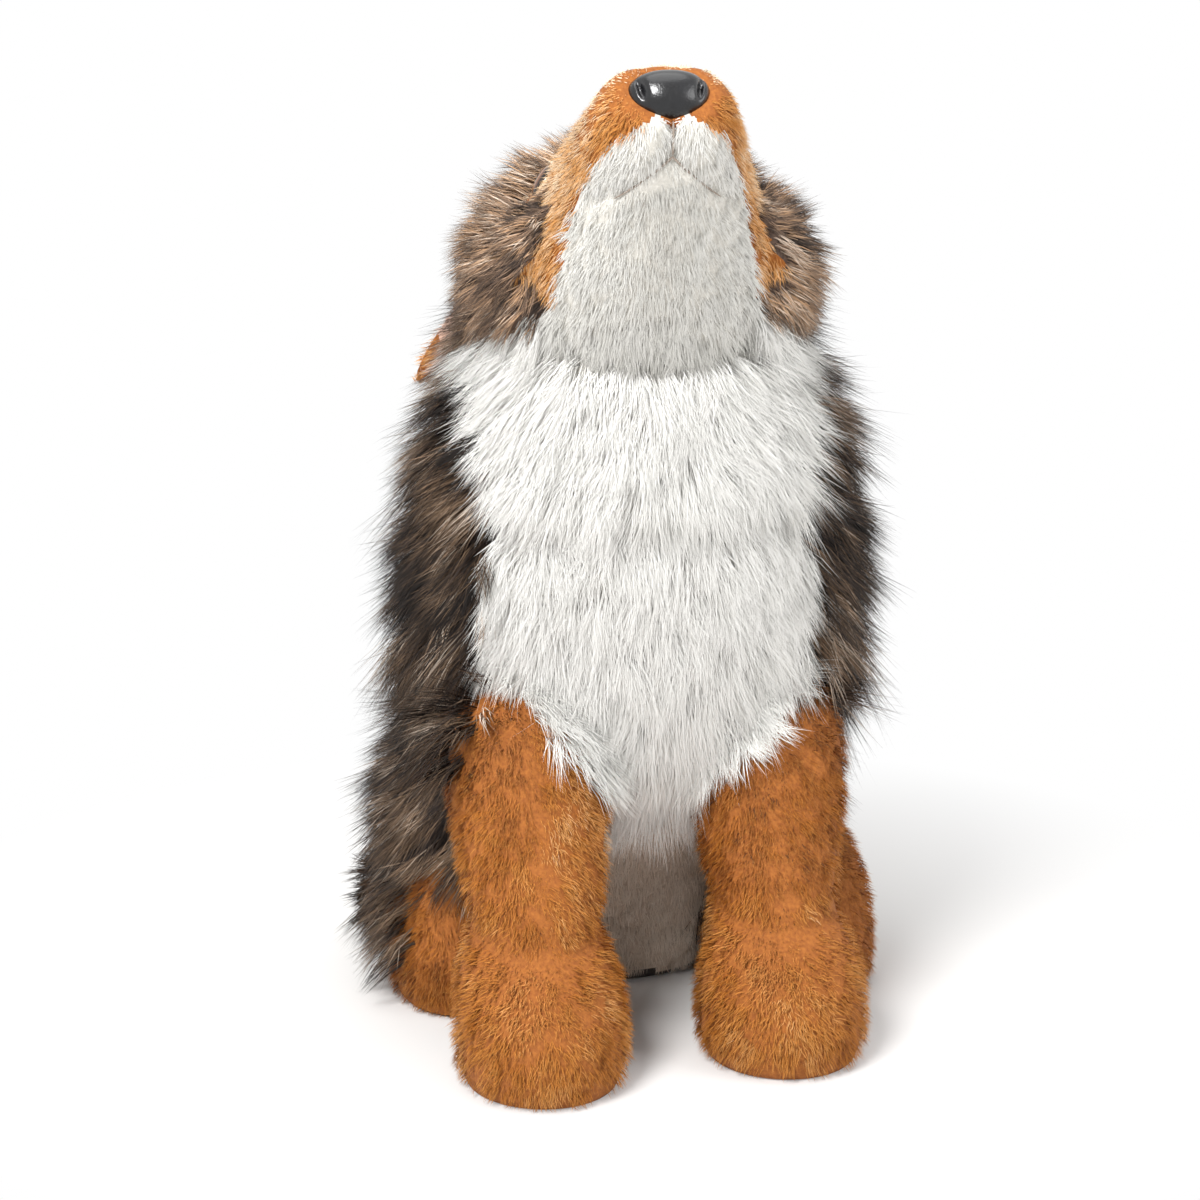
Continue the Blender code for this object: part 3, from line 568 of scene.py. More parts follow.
LONG = Pile(0.026, 0.50, 1.10, 0.0362, 20, 0.0036, 0.60, 0.00060, 2, 0.28, 0.15)
SIDE = Pile(0.021, 0.50, 1.10, 0.0340, 20, 0.0036, 0.60, 0.00060, 2, 0.28, 0.15)
TAIL = Pile(0.015, 0.50, 1.10, 0.0460, 18, 0.0034, 0.55, 0.00060, 2, 0.25, 0.15)
RUFF = Pile(0.019, 0.74, 1.28, 0.100, 20, 0.0038, 0.26, 0.00046, 2, 0.18, 0.06)
BIB = Pile(0.018, 0.70, 1.28, 0.092, 20, 0.0038, 0.26, 0.00046, 2, 0.20, 0.06)
SHORT = Pile(0.0052, 0.38, 1.00, 0.104, 9, 0.0030, 0.08, 0.00048, 2, 0.30, 0.05)
BELLY = Pile(0.0060, 0.60, 1.25, 0.060, 9, 0.0030, 0.10, 0.00050, 2, 0.20, 0.04)
FACE = Pile(0.0056, 0.60, 1.22, 0.150, 9, 0.0026, 0.08, 0.00042, 2, 0.20, 0.05)
HOOD = Pile(0.0145, 0.50, 1.05, 0.078, 18, 0.0028, 0.50, 0.00054, 2, 0.26, 0.21)
EAR = Pile(0.0042, 0.50, 1.15, 0.100, 9, 0.0022, 0.12, 0.00042, 2, 0.30, 0.06)

# Torso


def torso_off(local):
    """How far the torso's cloth stands off its stuffing: 4 mm, and 9 mm under the ruff."""
    z, y = local[..., 2], local[..., 1]
    high = np.clip((z - 0.224) / 0.014, 0, 1) * (y < -0.05)
    return 0.004 + 0.005 * high * high * (3 - 2 * high)


RUFF_HEM, BIB_TIP = 0.231, 0.099  # heights where the ruff ends and where the bib ends
torso = loft(TORSO, 112, 128, torso_off)
torso.points[..., 2] = np.maximum(torso.points[..., 2], FLOOR_GAP)
middle = centres(torso)
x, y, z = np.abs(middle[..., 0]), middle[..., 1], middle[..., 2]
ruff_half = np.interp(z, (RUFF_HEM, 0.237, 0.266), (0.047, 0.0595, 0.0635))
ruff_top = np.interp(x, (0.045, 0.0535, 0.063, 0.070), (0.33, 0.294, 0.284, 0.269))
bib_half = np.interp(
    z,
    (BIB_TIP, 0.115, 0.150, 0.166, 0.201, RUFF_HEM),
    (0.0113, 0.0385, 0.060, 0.064, 0.063, 0.058),
)
sitting = z < SOLE
in_ruff = (y < -0.051) & (z > RUFF_HEM) & (x < ruff_half) & (z < ruff_top)
in_bib = (y < -0.059) & (z > BIB_TIP) & (z <= RUFF_HEM) & (x < bib_half)
in_belly = (y < -0.013) & (z < 0.126) & (x < 0.040) & ~in_bib & ~sitting
in_coat = ~(in_ruff | in_bib | in_belly | sitting)

legs = [(foreleg(side), 0.002) for side in (-1, 1)] + [(haunch(side), 0.004) for side in (-1, 1)]
skull = [(HEAD, 0.004)]


def grizzled(low, span, size):
    """Patches of that size, in which one tuft in five is dark and one in six is pale."""

    def shade(roots):
        base = low + span * mottle(roots, size)
        kind = chance.random(len(roots))
        return base + np.where(kind < 0.22, -0.26, 0.0) + np.where(kind > 0.84, 0.32, 0.0)

    return shade


coat_shade = grizzled(0.12, 0.55, 0.055)


def coat_growth(roots):
    """The coat's locks are longer where they hang over the tops of the forelegs."""
    over_leg = (roots[:, 2] < 0.175) & (roots[:, 1] < -0.045)
    return 0.9 + 0.2 * mottle(roots, 0.030) + 0.25 * over_leg


def ruff_growth(roots):
    """Longer at the hem, which hangs over the bib."""
    return 0.9 + 0.25 * mottle(roots, 0.026) + 0.30 * np.clip((0.250 - roots[:, 2]) / 0.016, 0, 1)


def bib_growth(roots):
    """Short under the ruff's hem, so that the hem shows, and longest over the forelegs."""
    z = roots[:, 2]
    under_hem = np.clip((z - 0.214) / 0.012, 0, 1)
    over_legs = np.clip((0.178 - z) / 0.03, 0, 1)
    return 0.88 + 0.25 * mottle(roots, 0.030) - 0.50 * under_hem + 0.45 * over_legs


def bib_shade(roots):
    """Greyer at the tip, and dark in the shade of the ruff's hem."""
    z = roots[:, 2]
    tip, under_hem = np.clip((0.150 - z) / 0.04, 0, 1), np.clip((z - 0.219) / 0.008, 0, 1)
    return 0.68 - 0.08 * tip - 0.30 * under_hem


for side, word in ((1, "left"), (-1, "right")):
    furred(
        "coat_" + word, torso, in_coat & (middle[..., 0] * side > 0), LONG, down_and_out, coat_shade,
        *DARK, "coat_fur", ["coat_" + word], 0.8, legs + skull, coat_growth,
    )
furred(
    "ruff", torso, in_ruff, RUFF, down_and_out, even(0.64),
    *WHITE, "white_fur", ["ruff"], 0.8, skull, ruff_growth,
)
furred(
    "bib", torso, in_bib, BIB, down_and_out, bib_shade,
    *WHITE, "white_fur", ["bib"], 0.8, legs, bib_growth,
)
# the belly: white plush in painted warm shade
furred(
    "belly", torso, in_belly, BELLY, downwards, even(0.50),
    *SHADED_WARM_WHITE, "white_plush", ["belly_panel"], 0.8, legs,
)
placed(cloth_of("seat_cloth", torso, sitting, DARK_CLOTH), "coat_fur", "seat_panel", fill=0.8)

# Head

NOSE_WAY = HEAD_TURN @ (0, -math.sin(math.radians(30)), math.cos(math.radians(30)))
NOSE_UP = np.array((0, NOSE_WAY[2], -NOSE_WAY[1]))
nose_low, nose_high = (np.array(corner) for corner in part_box("nose"))
nose_size = np.array((0.0155, 0.0102, 0.0120))
nose_middle = np.array(
    (
        0.0,
        nose_low[1] + math.hypot(nose_size[1] * NOSE_UP[1], nose_size[2] * NOSE_WAY[1]),
        nose_high[2] - math.hypot(nose_size[1] * NOSE_UP[2], nose_size[2] * NOSE_WAY[2]),
    )
)
nose_middle = nose_middle - NOSE_UP * 0.0014 + NOSE_WAY * 0.0006
nose_size = nose_size * (1.04, 1.05, 1.0)


def near_nose(points):
    """How deep a point lies in the nose's own ellipse, seen along the nose's axis."""
    away = points - nose_middle
    return np.hypot(away[..., 0] / nose_size[0], away @ NOSE_UP / nose_size[1])


EYES = 0.0415, 0.0215, 0.0325  # in the head's own frame, either side
EYE_RIM = 0.0112  # how far dark pile reaches from an eye's middle
EYE_RADIUS, EYE_BULGE, EYE_STEM = 0.0085, 0.0044, 0.0112


def near_eye(local):
    """How far a point of the head lies from the nearer eye."""
    away = np.stack((np.abs(local[..., 0]), local[..., 1], local[..., 2]), axis=-1) - EYES
    return np.linalg.norm(away, axis=-1)


def eased(share):
    """From 0 to 1 without a corner: 3t^2 - 2t^3."""
    share = np.clip(share, 0, 1)
    return share * share * (3 - 2 * share)


def head_off(local):
    """How far the head's cloth stands off its stuffing: 3 mm, and less under the nose. Each
    upper lip is a soft lobe, a Gaussian bump either side of the philtrum, and the mouth's
    chevron is a groove. The hood swells from the brow towards the jaw and thins at the nape."""
    x, y, z = np.abs(local[..., 0]), local[..., 1], local[..., 2]
    front = y < 0
    lobe = np.exp(-(((x - 0.0115) / 0.0085) ** 2) - ((z - 0.0800) / 0.014) ** 2)
    crease = np.exp(-(((z - mouth_line(x)) / 0.0028) ** 2)) * (x < 0.028)
    parting = np.exp(-((x / 0.0022) ** 2)) * (z > 0.080)
    capped = np.maximum(
        eased((hood_seam(y) - z) / 0.014) * eased((y + 0.034) / 0.010),
        eased((0.004 - z) / 0.010) * (x > 0.040),
    )
    thick = eased((0.042 - z) / 0.040) * eased((z + 0.056) / 0.030) * eased((y + 0.030) / 0.026)
    swell = 0.003 + 0.0085 * thick
    under = eased((1.15 - near_nose(local @ HEAD_TURN.T + HEAD_PLACE)) / 0.4) * (z > 0.080)
    lips = front * (0.0038 * lobe - 0.0017 * (crease + parting))
    return 0.003 + lips + capped * swell - 0.0022 * under


SEAM_PLACES = -0.031, -0.024, -0.018, -0.015, -0.008, 0.000, 0.008, 0.030, 0.045
SEAM_HEIGHTS = 0.008, 0.010, 0.018, 0.028, 0.043, 0.041, 0.020, 0.019, 0.034


def hood_seam(y):
    """How far up the head's axis the hood reaches, from the cheeks to the brow."""
    return np.interp(y, SEAM_PLACES, SEAM_HEIGHTS)


def mouth_line(x):
    """Where the mouth runs along the head's axis: an upside-down V from the philtrum."""
    return 0.081 - x * (0.034 / 0.036)


head = loft(HEAD, 104, 116, head_off)
middle = centres(head)
local = (middle - HEAD_PLACE) @ HEAD_TURN
x, y, z = np.abs(local[..., 0]), local[..., 1], local[..., 2]
white_half = np.interp(
    z,
    (0.012, 0.035, 0.058, 0.080, 0.087, 0.092, 0.0955),
    (0.0405, 0.0365, 0.0315, 0.0240, 0.0195, 0.0135, 0.004),
)
in_white = (y < 0) & (x < white_half) & (z < 0.0955) & ~((z > 0.0905) & (x < (z - 0.0900) * 1.1))
in_jaw = in_white & (z < mouth_line(x))
in_lip = in_white & ~in_jaw
in_collar = (z < -0.028 - 1.07 * y) & (y < -0.012) & ~in_white
in_hood = ((y > -0.031) & (z < hood_seam(y)) | (z < 0.006)) & ~(in_white | in_collar)
in_face = ~(in_white | in_hood | in_collar)
chest = [(TORSO, 0.004)]


hood_shade = grizzled(0.22, 0.66, 0.050)


def in_head(points):
    return (points - HEAD_PLACE) @ HEAD_TURN


def throat_shade(roots):
    """White, greyer than the ruff, with painted shade in a streak down the middle of the chin,
    and painted shade in the mouth's crease."""
    local = in_head(roots)
    painted_chin_shade = np.exp(-(((local[:, 0] + 0.002) / 0.011) ** 2) - ((local[:, 2] - 0.050) / 0.024) ** 2)
    # painted shade down the chin and in the mouth's crease
    return 0.40 - 0.20 * painted_chin_shade - 0.24 * near_mouth(local)


def near_mouth(local):
    """1 on the mouth's line, falling to 0 within 3 mm of it."""
    x = np.abs(local[:, 0])
    return np.exp(-(((local[:, 2] - mouth_line(x)) / 0.0024) ** 2)) * (x < 0.030)


def lip_shade(roots):
    # painted shade: darker in the mouth's crease
    return 0.50 - 0.20 * near_mouth(in_head(roots))


def face_shade(roots):
    """Tan, paler towards the brow and on the bridge behind the nose, paler at the sides in a
    painted rim light, and black right under the nose and round the eyes."""
    local = in_head(roots)
    bridge = eased((local[:, 2] - 0.078) / 0.012) * (local[:, 1] > -0.006)
    brow = eased((local[:, 1] + 0.020) / 0.020)
    under = (np.abs(local[:, 0]) < 0.0075) & (near_nose(roots) < 1.45) & (local[:, 1] < -0.012)
    rim = near_eye(local) < EYE_RIM
    # painted rim light: paler on the muzzle's sides
    side = eased((np.abs(local[:, 0]) - 0.016) / 0.014)
    tan = 0.53 + 0.12 * mottle(roots, 0.014) + 0.12 * brow + 0.30 * bridge + 0.20 * side
    return np.where(under | rim, 0.02, tan)


def face_growth(roots):
    """The pile is clipped short round the nose and the eyes and on the bridge."""
    local = in_head(roots)
    bridge = eased((local[:, 2] - 0.066) / 0.020) * eased((local[:, 1] + 0.016) / 0.008)
    clipped = np.clip((near_nose(roots) - 0.90) / 0.45, 0.10, 1)
    clipped = np.maximum(clipped, 0.7 * (np.abs(local[:, 0]) < 0.006) * (near_nose(roots) > 1))
    return clipped * (1 - 0.55 * bridge) * np.clip((near_eye(local) - 0.0075) / 0.010, 0.15, 1)


def lip_growth(roots):
    return face_growth(roots) * (1 - 0.6 * near_mouth(in_head(roots)))


def throat_growth(roots):
    """The chin's pile is longer where it ends over the ruff, and short in the mouth's crease."""
    local = in_head(roots)
    centre = 1 - 0.5 * eased((np.abs(local[:, 0]) - 0.012) / 0.022)
    return (1 + 1.7 * centre * eased((0.034 - local[:, 2]) / 0.040)) * (1 - 0.6 * near_mouth(local))


def hood_growth(roots):
    """Short at the brow, where the hood's seam meets the muzzle."""
    return 0.45 + 0.55 * eased((0.046 - in_head(roots)[:, 2]) / 0.034)


for side, word in ((1, "left"), (-1, "right")):
    half = local[..., 0] * side > 0
    furred(
        "hood_" + word, head, in_hood & half, HOOD, hood_comb, hood_shade,
        *HOODED, "hood_fur", ["hood_" + word], 0.85, chest, hood_growth,
    )
    furred(
        "lip_" + word, head, in_lip & half, FACE, towards_nape, lip_shade,
        *WHITE, "white_plush", ["lip_" + word], 0.85, (), lip_growth,
    )
furred(
    "jaw", head, in_jaw, FACE, towards_nape, throat_shade,
    *WHITE, "white_plush", ["jaw_panel"], 0.85, (), throat_growth,
)
furred(
    "face", head, in_face, FACE, towards_nape, face_shade,
    *TAN, "tan_plush", ["face_panel"], 0.85, chest, face_growth,
)

# The ruff's upper corners lie against the cheeks, over the hood's lower edge
furred(
    "collar", head, in_collar, RUFF, down_and_out, even(0.62),
    *WHITE, "white_fur", [], 0.85, [(TORSO, 0.002)],
)

# The mouth's seam and the philtrum, sunk in the pile: grey-brown threads along the seams, which paint
# the shadow in their grooves


def head_front(x, z, off):
    """The point of the head's chin side at (x, z) of its own frame, off outwards."""
    _, half, front, back = profile(HEAD, z, 600)
    reach = (back - front) / 2 + off
    y = (front + back) / 2 - reach * np.sqrt(np.clip(1 - (x / (half + off)) ** 2, 0, 1))
    return np.stack((x, y, z), axis=-1) @ HEAD_TURN.T + HEAD_PLACE


def rope(name, path, radius, material, sides=10):
    """A tube: each ring lies square to the path's step, and its radius fades at the ends."""
    step = unit(np.gradient(path, axis=0))
    side = unit(np.cross(step, (0.0, 0.31, 0.95)))
    up = np.cross(side, step)
    turn = turns(sides)
    share = np.linspace(-1, 1, len(path))[:, None, None]
    size = radius * np.sqrt(np.clip(1 - share**6, 0, 1))
    points = path[:, None] + size * (side[:, None] * np.cos(turn) + up[:, None] * np.sin(turn))
    skin = Skin(points, points)
    return cloth_of(name, skin, np.ones((len(path) - 1, sides), bool), material)


# painted shadow: the threads' grey-brown stands for the shade in the seams' grooves
SEAM_SHADOW_THREAD = cloth_material("grey-brown thread, painted seam shadow", "#85796E", "#9D9186", 0.8)
SEAM_OFF = 0.0040  # the threads lie this far off the stuffing
across = np.linspace(-0.021, 0.021, 61)
mouth = head_front(across, mouth_line(np.abs(across)), SEAM_OFF)
placed(rope("mouth_seam", mouth, 0.00045, SEAM_SHADOW_THREAD), "white_plush")
up_lip = np.linspace(0.0815, 0.0930, 24)
philtrum = head_front(0 * up_lip, up_lip, SEAM_OFF)
placed(rope("philtrum_seam", philtrum, 0.0005, SEAM_SHADOW_THREAD), "white_plush")

# Nose and eyes


def moulded(name, low, high, roughness, coat, pebble_mm, pebble):
    """Injection-moulded, polished plastic: a slight colour drift, and a fine pebble."""
    material, tree, shader = shaded(name)
    where = add(tree, "ShaderNodeTexCoord").outputs["Object"]
    drift = add(tree, "ShaderNodeTexNoise", Vector=where, Scale=1000 / 4.0, Detail=2.0)
    tint = ramp_of(tree, drift.outputs["Fac"], (0.35, low), (0.65, high))
    tree.links.new(tint, shader.inputs["Base Color"])
    grain = add(tree, "ShaderNodeTexVoronoi", Vector=where, Scale=1000 / pebble_mm)
    height = grain.outputs["Distance"]
    bump = add(tree, "ShaderNodeBump", Height=height, Strength=pebble, Distance=0.0002)
    tree.links.new(bump.outputs["Normal"], shader.inputs["Normal"])
    shader.inputs["Roughness"].default_value = roughness
    shader.inputs["Coat Weight"].default_value = coat
    shader.inputs["Coat Roughness"].default_value = 0.12
    return material


def make_nose():
    """A squarish dome: x, y and z are signed powers of a sphere's, wider towards the top,
    with a slanting nostril pressed into each side as a long Gaussian dent."""
    polar = np.linspace(0, np.pi, 48)[:, None]
    turn = np.linspace(0, 2 * np.pi, 72, endpoint=False)[None, :]
    ring = np.sin(polar)
    axes = np.broadcast_arrays(ring * np.cos(turn), ring * np.sin(turn), np.cos(polar))
    ball = np.stack(axes, axis=-1)
    ball = np.sign(ball) * np.abs(ball) ** 0.88
    x, y, z = ball[..., 0], ball[..., 1], ball[..., 2]
    x = x * (1 + 0.10 * y - 0.10 * y * y)
    z = z * (1 - 0.10 * np.abs(x) ** 3)
    slant = np.abs(x) - 0.70 - 0.14 * (y - 0.1)
    dent = np.exp(-((slant / 0.070) ** 2) - ((y - 0.12) / 0.36) ** 2) * (z > -0.2)
    z = z - 0.34 * dent * np.clip(z + 0.5, 0, 1)
    y = y + 0.10 * np.exp(-((x / 0.10) ** 2) - ((z - 0.8) / 0.5) ** 2) * (y < 0)
    local = np.stack((x, y, z), axis=-1) * nose_size
    basis = np.array(((1, 0, 0), NOSE_UP, NOSE_WAY))
    points = local[::-1] @ basis + nose_middle
    skin = Skin(points, points)
    black = moulded("polished black plastic nose", "#08080A", "#101114", 0.26, 0.25, 0.7, 0.30)
    nose = cloth_of("nose_dome", skin, np.ones((47, 72), bool), black)
    placed(nose, "nose_plastic", "nose")


make_nose()


def make_eye(side, word):
    """A flattened ball on its solid's own axis, which runs from the solid's inner end to its
    middle: an amber iris round a black pupil, drawn in rings about the eye's middle."""
    low, high = (np.array(corner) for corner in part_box("eye_" + word))
    inner = low[0] if side > 0 else high[0]
    cad = np.array([v.co for v in bpy.data.objects["eye_" + word].data.vertices])
    end = cad[np.abs(cad[:, 0]) < np.abs(inner) + 0.0012].mean(axis=0)
    middle_y, middle_z = (low[1] + high[1]) / 2, (low[2] + high[2]) / 2
    flat = math.hypot(middle_y - end[1], middle_z - end[2])
    reach = math.sqrt(max(EYE_STEM**2 - flat**2, 1e-6))
    middle = np.array((end[0] + side * reach, middle_y, middle_z))
    way = unit(middle - end)
    first = unit(np.cross(way, (0, 0, 1.0)))
    second = np.cross(way, first)
    polar = np.linspace(np.pi, 0, 26)[:, None, None]
    turn = turns(40)
    disc = np.sin(polar) * (np.cos(turn) * first + np.sin(turn) * second) * EYE_RADIUS
    points = middle + disc + np.cos(polar) * way * EYE_BULGE
    skin = Skin(points, points)
    material = iris_material("amber plastic eye " + word, middle)
    dome = cloth_of("eye_" + word + "_dome", skin, np.ones((25, 40), bool), material)
    placed(dome, "eye_plastic", "eye_" + word)


def iris_material(name, middle):
    """Cast acrylic: black pupil, amber iris with a darker rim, under a clear gloss."""
    material, tree, shader = shaded(name)
    where = add(tree, "ShaderNodeTexCoord").outputs["Object"]
    apart, times = {"operation": "DISTANCE"}, {"operation": "MULTIPLY"}
    centred = add(tree, "ShaderNodeVectorMath", apart, n0=where, n1=tuple(middle))
    away = add(tree, "ShaderNodeMath", times, n0=centred.outputs["Value"], n1=1 / EYE_RADIUS)
    rings = ramp_of(
        tree, away.outputs[0], (0.58, "#050404"), (0.66, "#0A0705"),
        (0.70, "#8A5212"), (0.80, "#5C3209"), (0.90, "#140A04"),
    )
    tree.links.new(rings, shader.inputs["Base Color"])
    shader.inputs["Roughness"].default_value = 0.12
    shader.inputs["Coat Weight"].default_value = 0.3
    return material


for side, word in ((1, "left"), (-1, "right")):
    make_eye(side, word)

# Ears


def make_ear(side, word):
    """A cupped leaf: rows run from root to tip, and each row is a flat ellipse, bent by
    cup*cos^2, whose half width fades as (1-share^3)^0.5."""
    mirror = np.array((side, 1.0, 1.0))
    root = np.array((0.048, 0.036, -0.036)) * mirror
    tip = np.array((0.075, 0.054, -0.098)) * mirror
    ahead = unit(tip - root)
    across = unit(np.cross(ahead, np.array((side, 0.25, 0.6))))
    out = np.cross(across, ahead)
    share = np.linspace(0, 1, 32)[:, None, None]
    turn = turns(40)
    half = 0.019 * np.clip(1 - share**3.0, 0, 1) ** 0.5
    thick = 0.0030 * np.clip(1 - share**4, 0, 1) ** 0.5
    flat = across * half * np.cos(turn)
    cup = 0.006 * np.cos(turn) ** 2 + 0.0003
    points = root + (tip - root) * share + flat + out * (thick * np.sin(turn) + cup)
    points = points @ HEAD_TURN.T + HEAD_PLACE
    if side < 0:
        points = points[:, ::-1]
    outward = outward_of(points)
    face = np.sin(np.linspace(0, 2 * np.pi, 40, endpoint=False) + np.pi / 40)
    if side < 0:
        face = face[::-1]
    skin = Skin(points, outward)
    lining = (face > 0.12) & (share[:-1, :, 0] < 0.78)

    def to_tip(roots, outward):
        return np.tile(HEAD_TURN @ ahead, (len(roots), 1))

    body = [(HEAD, 0.006), (TORSO, 0.006)]
    furred(
        "ear_back_" + word, skin, ~lining, EAR, to_tip, even(0.66),
        *TAN, "ear_fur", ["ear_back_" + word], 0.3, body,
    )
    furred(
        "ear_lining_" + word, skin, lining, EAR, to_tip, even(0.5),
        *PALE, "ear_plush", ["ear_lining_" + word], 0.3, body,
    )


for side, word in ((1, "left"), (-1, "right")):
    make_ear(side, word)

# Tail


def through(points, along):
    """A Catmull-Rom curve: between b and c it is b + (c-a)t/2 + (2a-5b+4c-d)t^2/2 +
    (3b-a-3c+d)t^3/2, so it passes through every point."""
    points = np.vstack((2 * points[0] - points[1], points, 2 * points[-1] - points[-2]))
    first = np.clip(np.floor(along).astype(int), 0, len(points) - 4)
    t = (along - first)[:, None]
    a, b, c, d = (points[first + k] for k in range(4))
    bend, twist = 2 * a - 5 * b + 4 * c - d, 3 * b - a - 3 * c + d
    return b + (c - a) * t / 2 + bend * t**2 / 2 + twist * t**3 / 2


def make_tail():
    """A tapering tube round the toy's right side: rings square to its path, floor-flat."""
    stops = rows_of(
        (0.000, 0.025, 0.034, 0.012),
        (-0.036, 0.071, 0.027, 0.015),
        (-0.084, 0.045, 0.021, 0.013),
        (-0.088, 0.003, 0.015, 0.005),
    )
    track = through(stops, np.linspace(0, 3, 64))
    path, radius = track[:, :3], track[:, 3:] + 0.003
    radius[-9:] *= np.sqrt(np.linspace(1, 0, 9) ** 0.8)[:, None]
    step = unit(np.gradient(path, axis=0))
    side = unit(np.cross(step, (0, 0, 1.0)))
    up = np.cross(side, step)
    turn = turns(44)
    ring = side[:, None] * np.cos(turn) + up[:, None] * np.sin(turn)
    points = (path[:, None] + radius[:, None] * ring)[::-1]
    points[..., 2] = np.maximum(points[..., 2], FLOOR_GAP)
    skin = Skin(points, outward_of(points))

    def to_end(roots, outward):
        near = np.argmin(((roots[:, None] - path[None]) ** 2).sum(axis=2), axis=1)
        return step[near] + np.array((0, 0, -0.15))

    furred(
        "tail", skin, np.ones((63, 44), bool), TAIL, to_end, coat_shade,
        *DARK, "coat_fur", ["tail_skin"], 0.7, [(TORSO, 0.004), (haunch(-1), 0.004)],
    )


make_tail()

# Legs

WRIST, PAW_FRONT, WRIST_SLOPE = 0.056, -0.144, math.tan(math.radians(16))


def over_wrist(points, side):
    """How far above the wrist's slanting seam a point lies."""
    return points[..., 2] - WRIST - (points[..., 1] - PAW_FRONT - side * PACE) * WRIST_SLOPE


def make_foreleg(side, word):
    form = foreleg(side)

    def leg_off(local):
        """1.8 mm, more over the knuckles and above the wrist, and less in the wrist's crease."""
        over = over_wrist(local, side)
        ahead = eased((-0.115 - local[..., 1]) / 0.015)
        knuckles = 0.0036 * np.exp(-((over + 0.019) / 0.014) ** 2)
        cuff = 0.0016 * np.exp(-((over - 0.015) / 0.011) ** 2)
        return 0.0018 + (knuckles + cuff) * ahead - 0.0013 * np.exp(-((over / 0.0045) ** 2))

    def seamed(roots):
        """1 on the wrist's seam and on the seam down the leg's front, 0 a few mm away."""
        over = over_wrist(roots, side)
        wrist = np.exp(-((over / 0.0030) ** 2)) * (roots[:, 1] < -0.100)
        front = np.exp(-(((roots[:, 0] - form.middle) / 0.0024) ** 2)) * (roots[:, 1] < -0.085)
        return np.maximum(wrist, front * (over > 0))

    def shade(roots):
        """Tan, in soft patches of painted sheen where the nap lies this way or that, with painted
        shade at the leg's top and in the grooves of its seams. Above the wrist, painted light and
        shade: the left leg, away from the light, is darker all over, and the right leg is lighter
        on its inner panel than on its outer."""
        leg = eased(over_wrist(roots, side) / 0.02)
        panel = eased((roots[:, 0] - form.middle) / 0.006 + 0.5)
        # painted light and shade: darker on the leg away from the light, lighter on the right leg's
        # inner panel
        painted_light_and_shade = 0.30 * panel - 0.18 if side < 0 else -0.33 + 0.08 * panel
        # painted shade at the leg's top
        top = -0.10 * eased((roots[:, 2] - 0.090) / 0.040)
        # the patches are painted sheen, and the darkening in the seams is painted shade in their
        # grooves
        tan = 0.30 + 0.40 * mottle(roots, 0.023) + painted_light_and_shade * leg + top - 0.30 * seamed(roots)
        return np.maximum(tan, 0.13)

    def lapped(points):
        """Where the bib's pile and the coat's pile hang over the leg's top."""
        out = points[..., 0] * side
        if side > 0:
            edge, hem = 0.075, 0.0912 + 0.90 * out
            lock = 0.1586 - 1.59 * (out - 0.063)
        else:
            edge = 0.057
            hem = np.interp(out, (0.010, 0.019, 0.040, edge), (0.099, 0.111, 0.132, 0.157))
            lock = 0.1490 - 1.70 * (out - 0.063)
        return (points[..., 2] > hem) & (out < edge), (points[..., 2] > lock) & (out > edge)

    def growth(roots):
        bib, coat = lapped(roots)
        return (1 - 0.70 * seamed(roots)) * np.where(bib | coat, 0.2, 1.0)

    leg = loft(form, 76, 64, leg_off)
    leg.points[..., 2] = np.maximum(leg.points[..., 2], FLOOR_GAP)
    middle = centres(leg)
    sole = middle[..., 2] < SOLE
    paw = (over_wrist(middle, side) < 0) & ~sole
    outer = ~paw & ~sole & ((middle[..., 0] - form.middle) * side > 0)
    inner = ~(paw | sole | outer)
    under = cloth_of("foresole_" + word + "_cloth", leg, sole, TAN_CLOTH)
    placed(under, "tan_plush", "foresole_" + word, fill=0.9)
    for panel, where in (("forepaw_", paw), ("foreleg_outer_", outer), ("foreleg_inner_", inner)):
        furred(
            panel + word, leg, where, SHORT, downwards, shade,
            *TAN, "tan_plush", [panel + word], 0.9, [(TORSO, 0.004)], growth,
        )
    bib, coat = lapped(middle)
    fringe("bib_lap_" + word, leg, bib, BIB, down_and_out, even(0.5), WHITE_PILE, "white_fur")
    fringe("coat_lap_" + word, leg, coat, LONG, forwards_and_down, coat_shade, COAT_PILE, "coat_fur")


# The hind feet are painted darker than the forelegs: painted shade, where the body shades them
def hind_foot_painted_shade(roots):
    return 0.11 + 0.18 * mottle(roots, 0.020)


def haunch_growth(roots):
    """Longer on the haunch's upper half."""
    return 1 + 0.15 * eased((roots[:, 2] - 0.040) / 0.030)


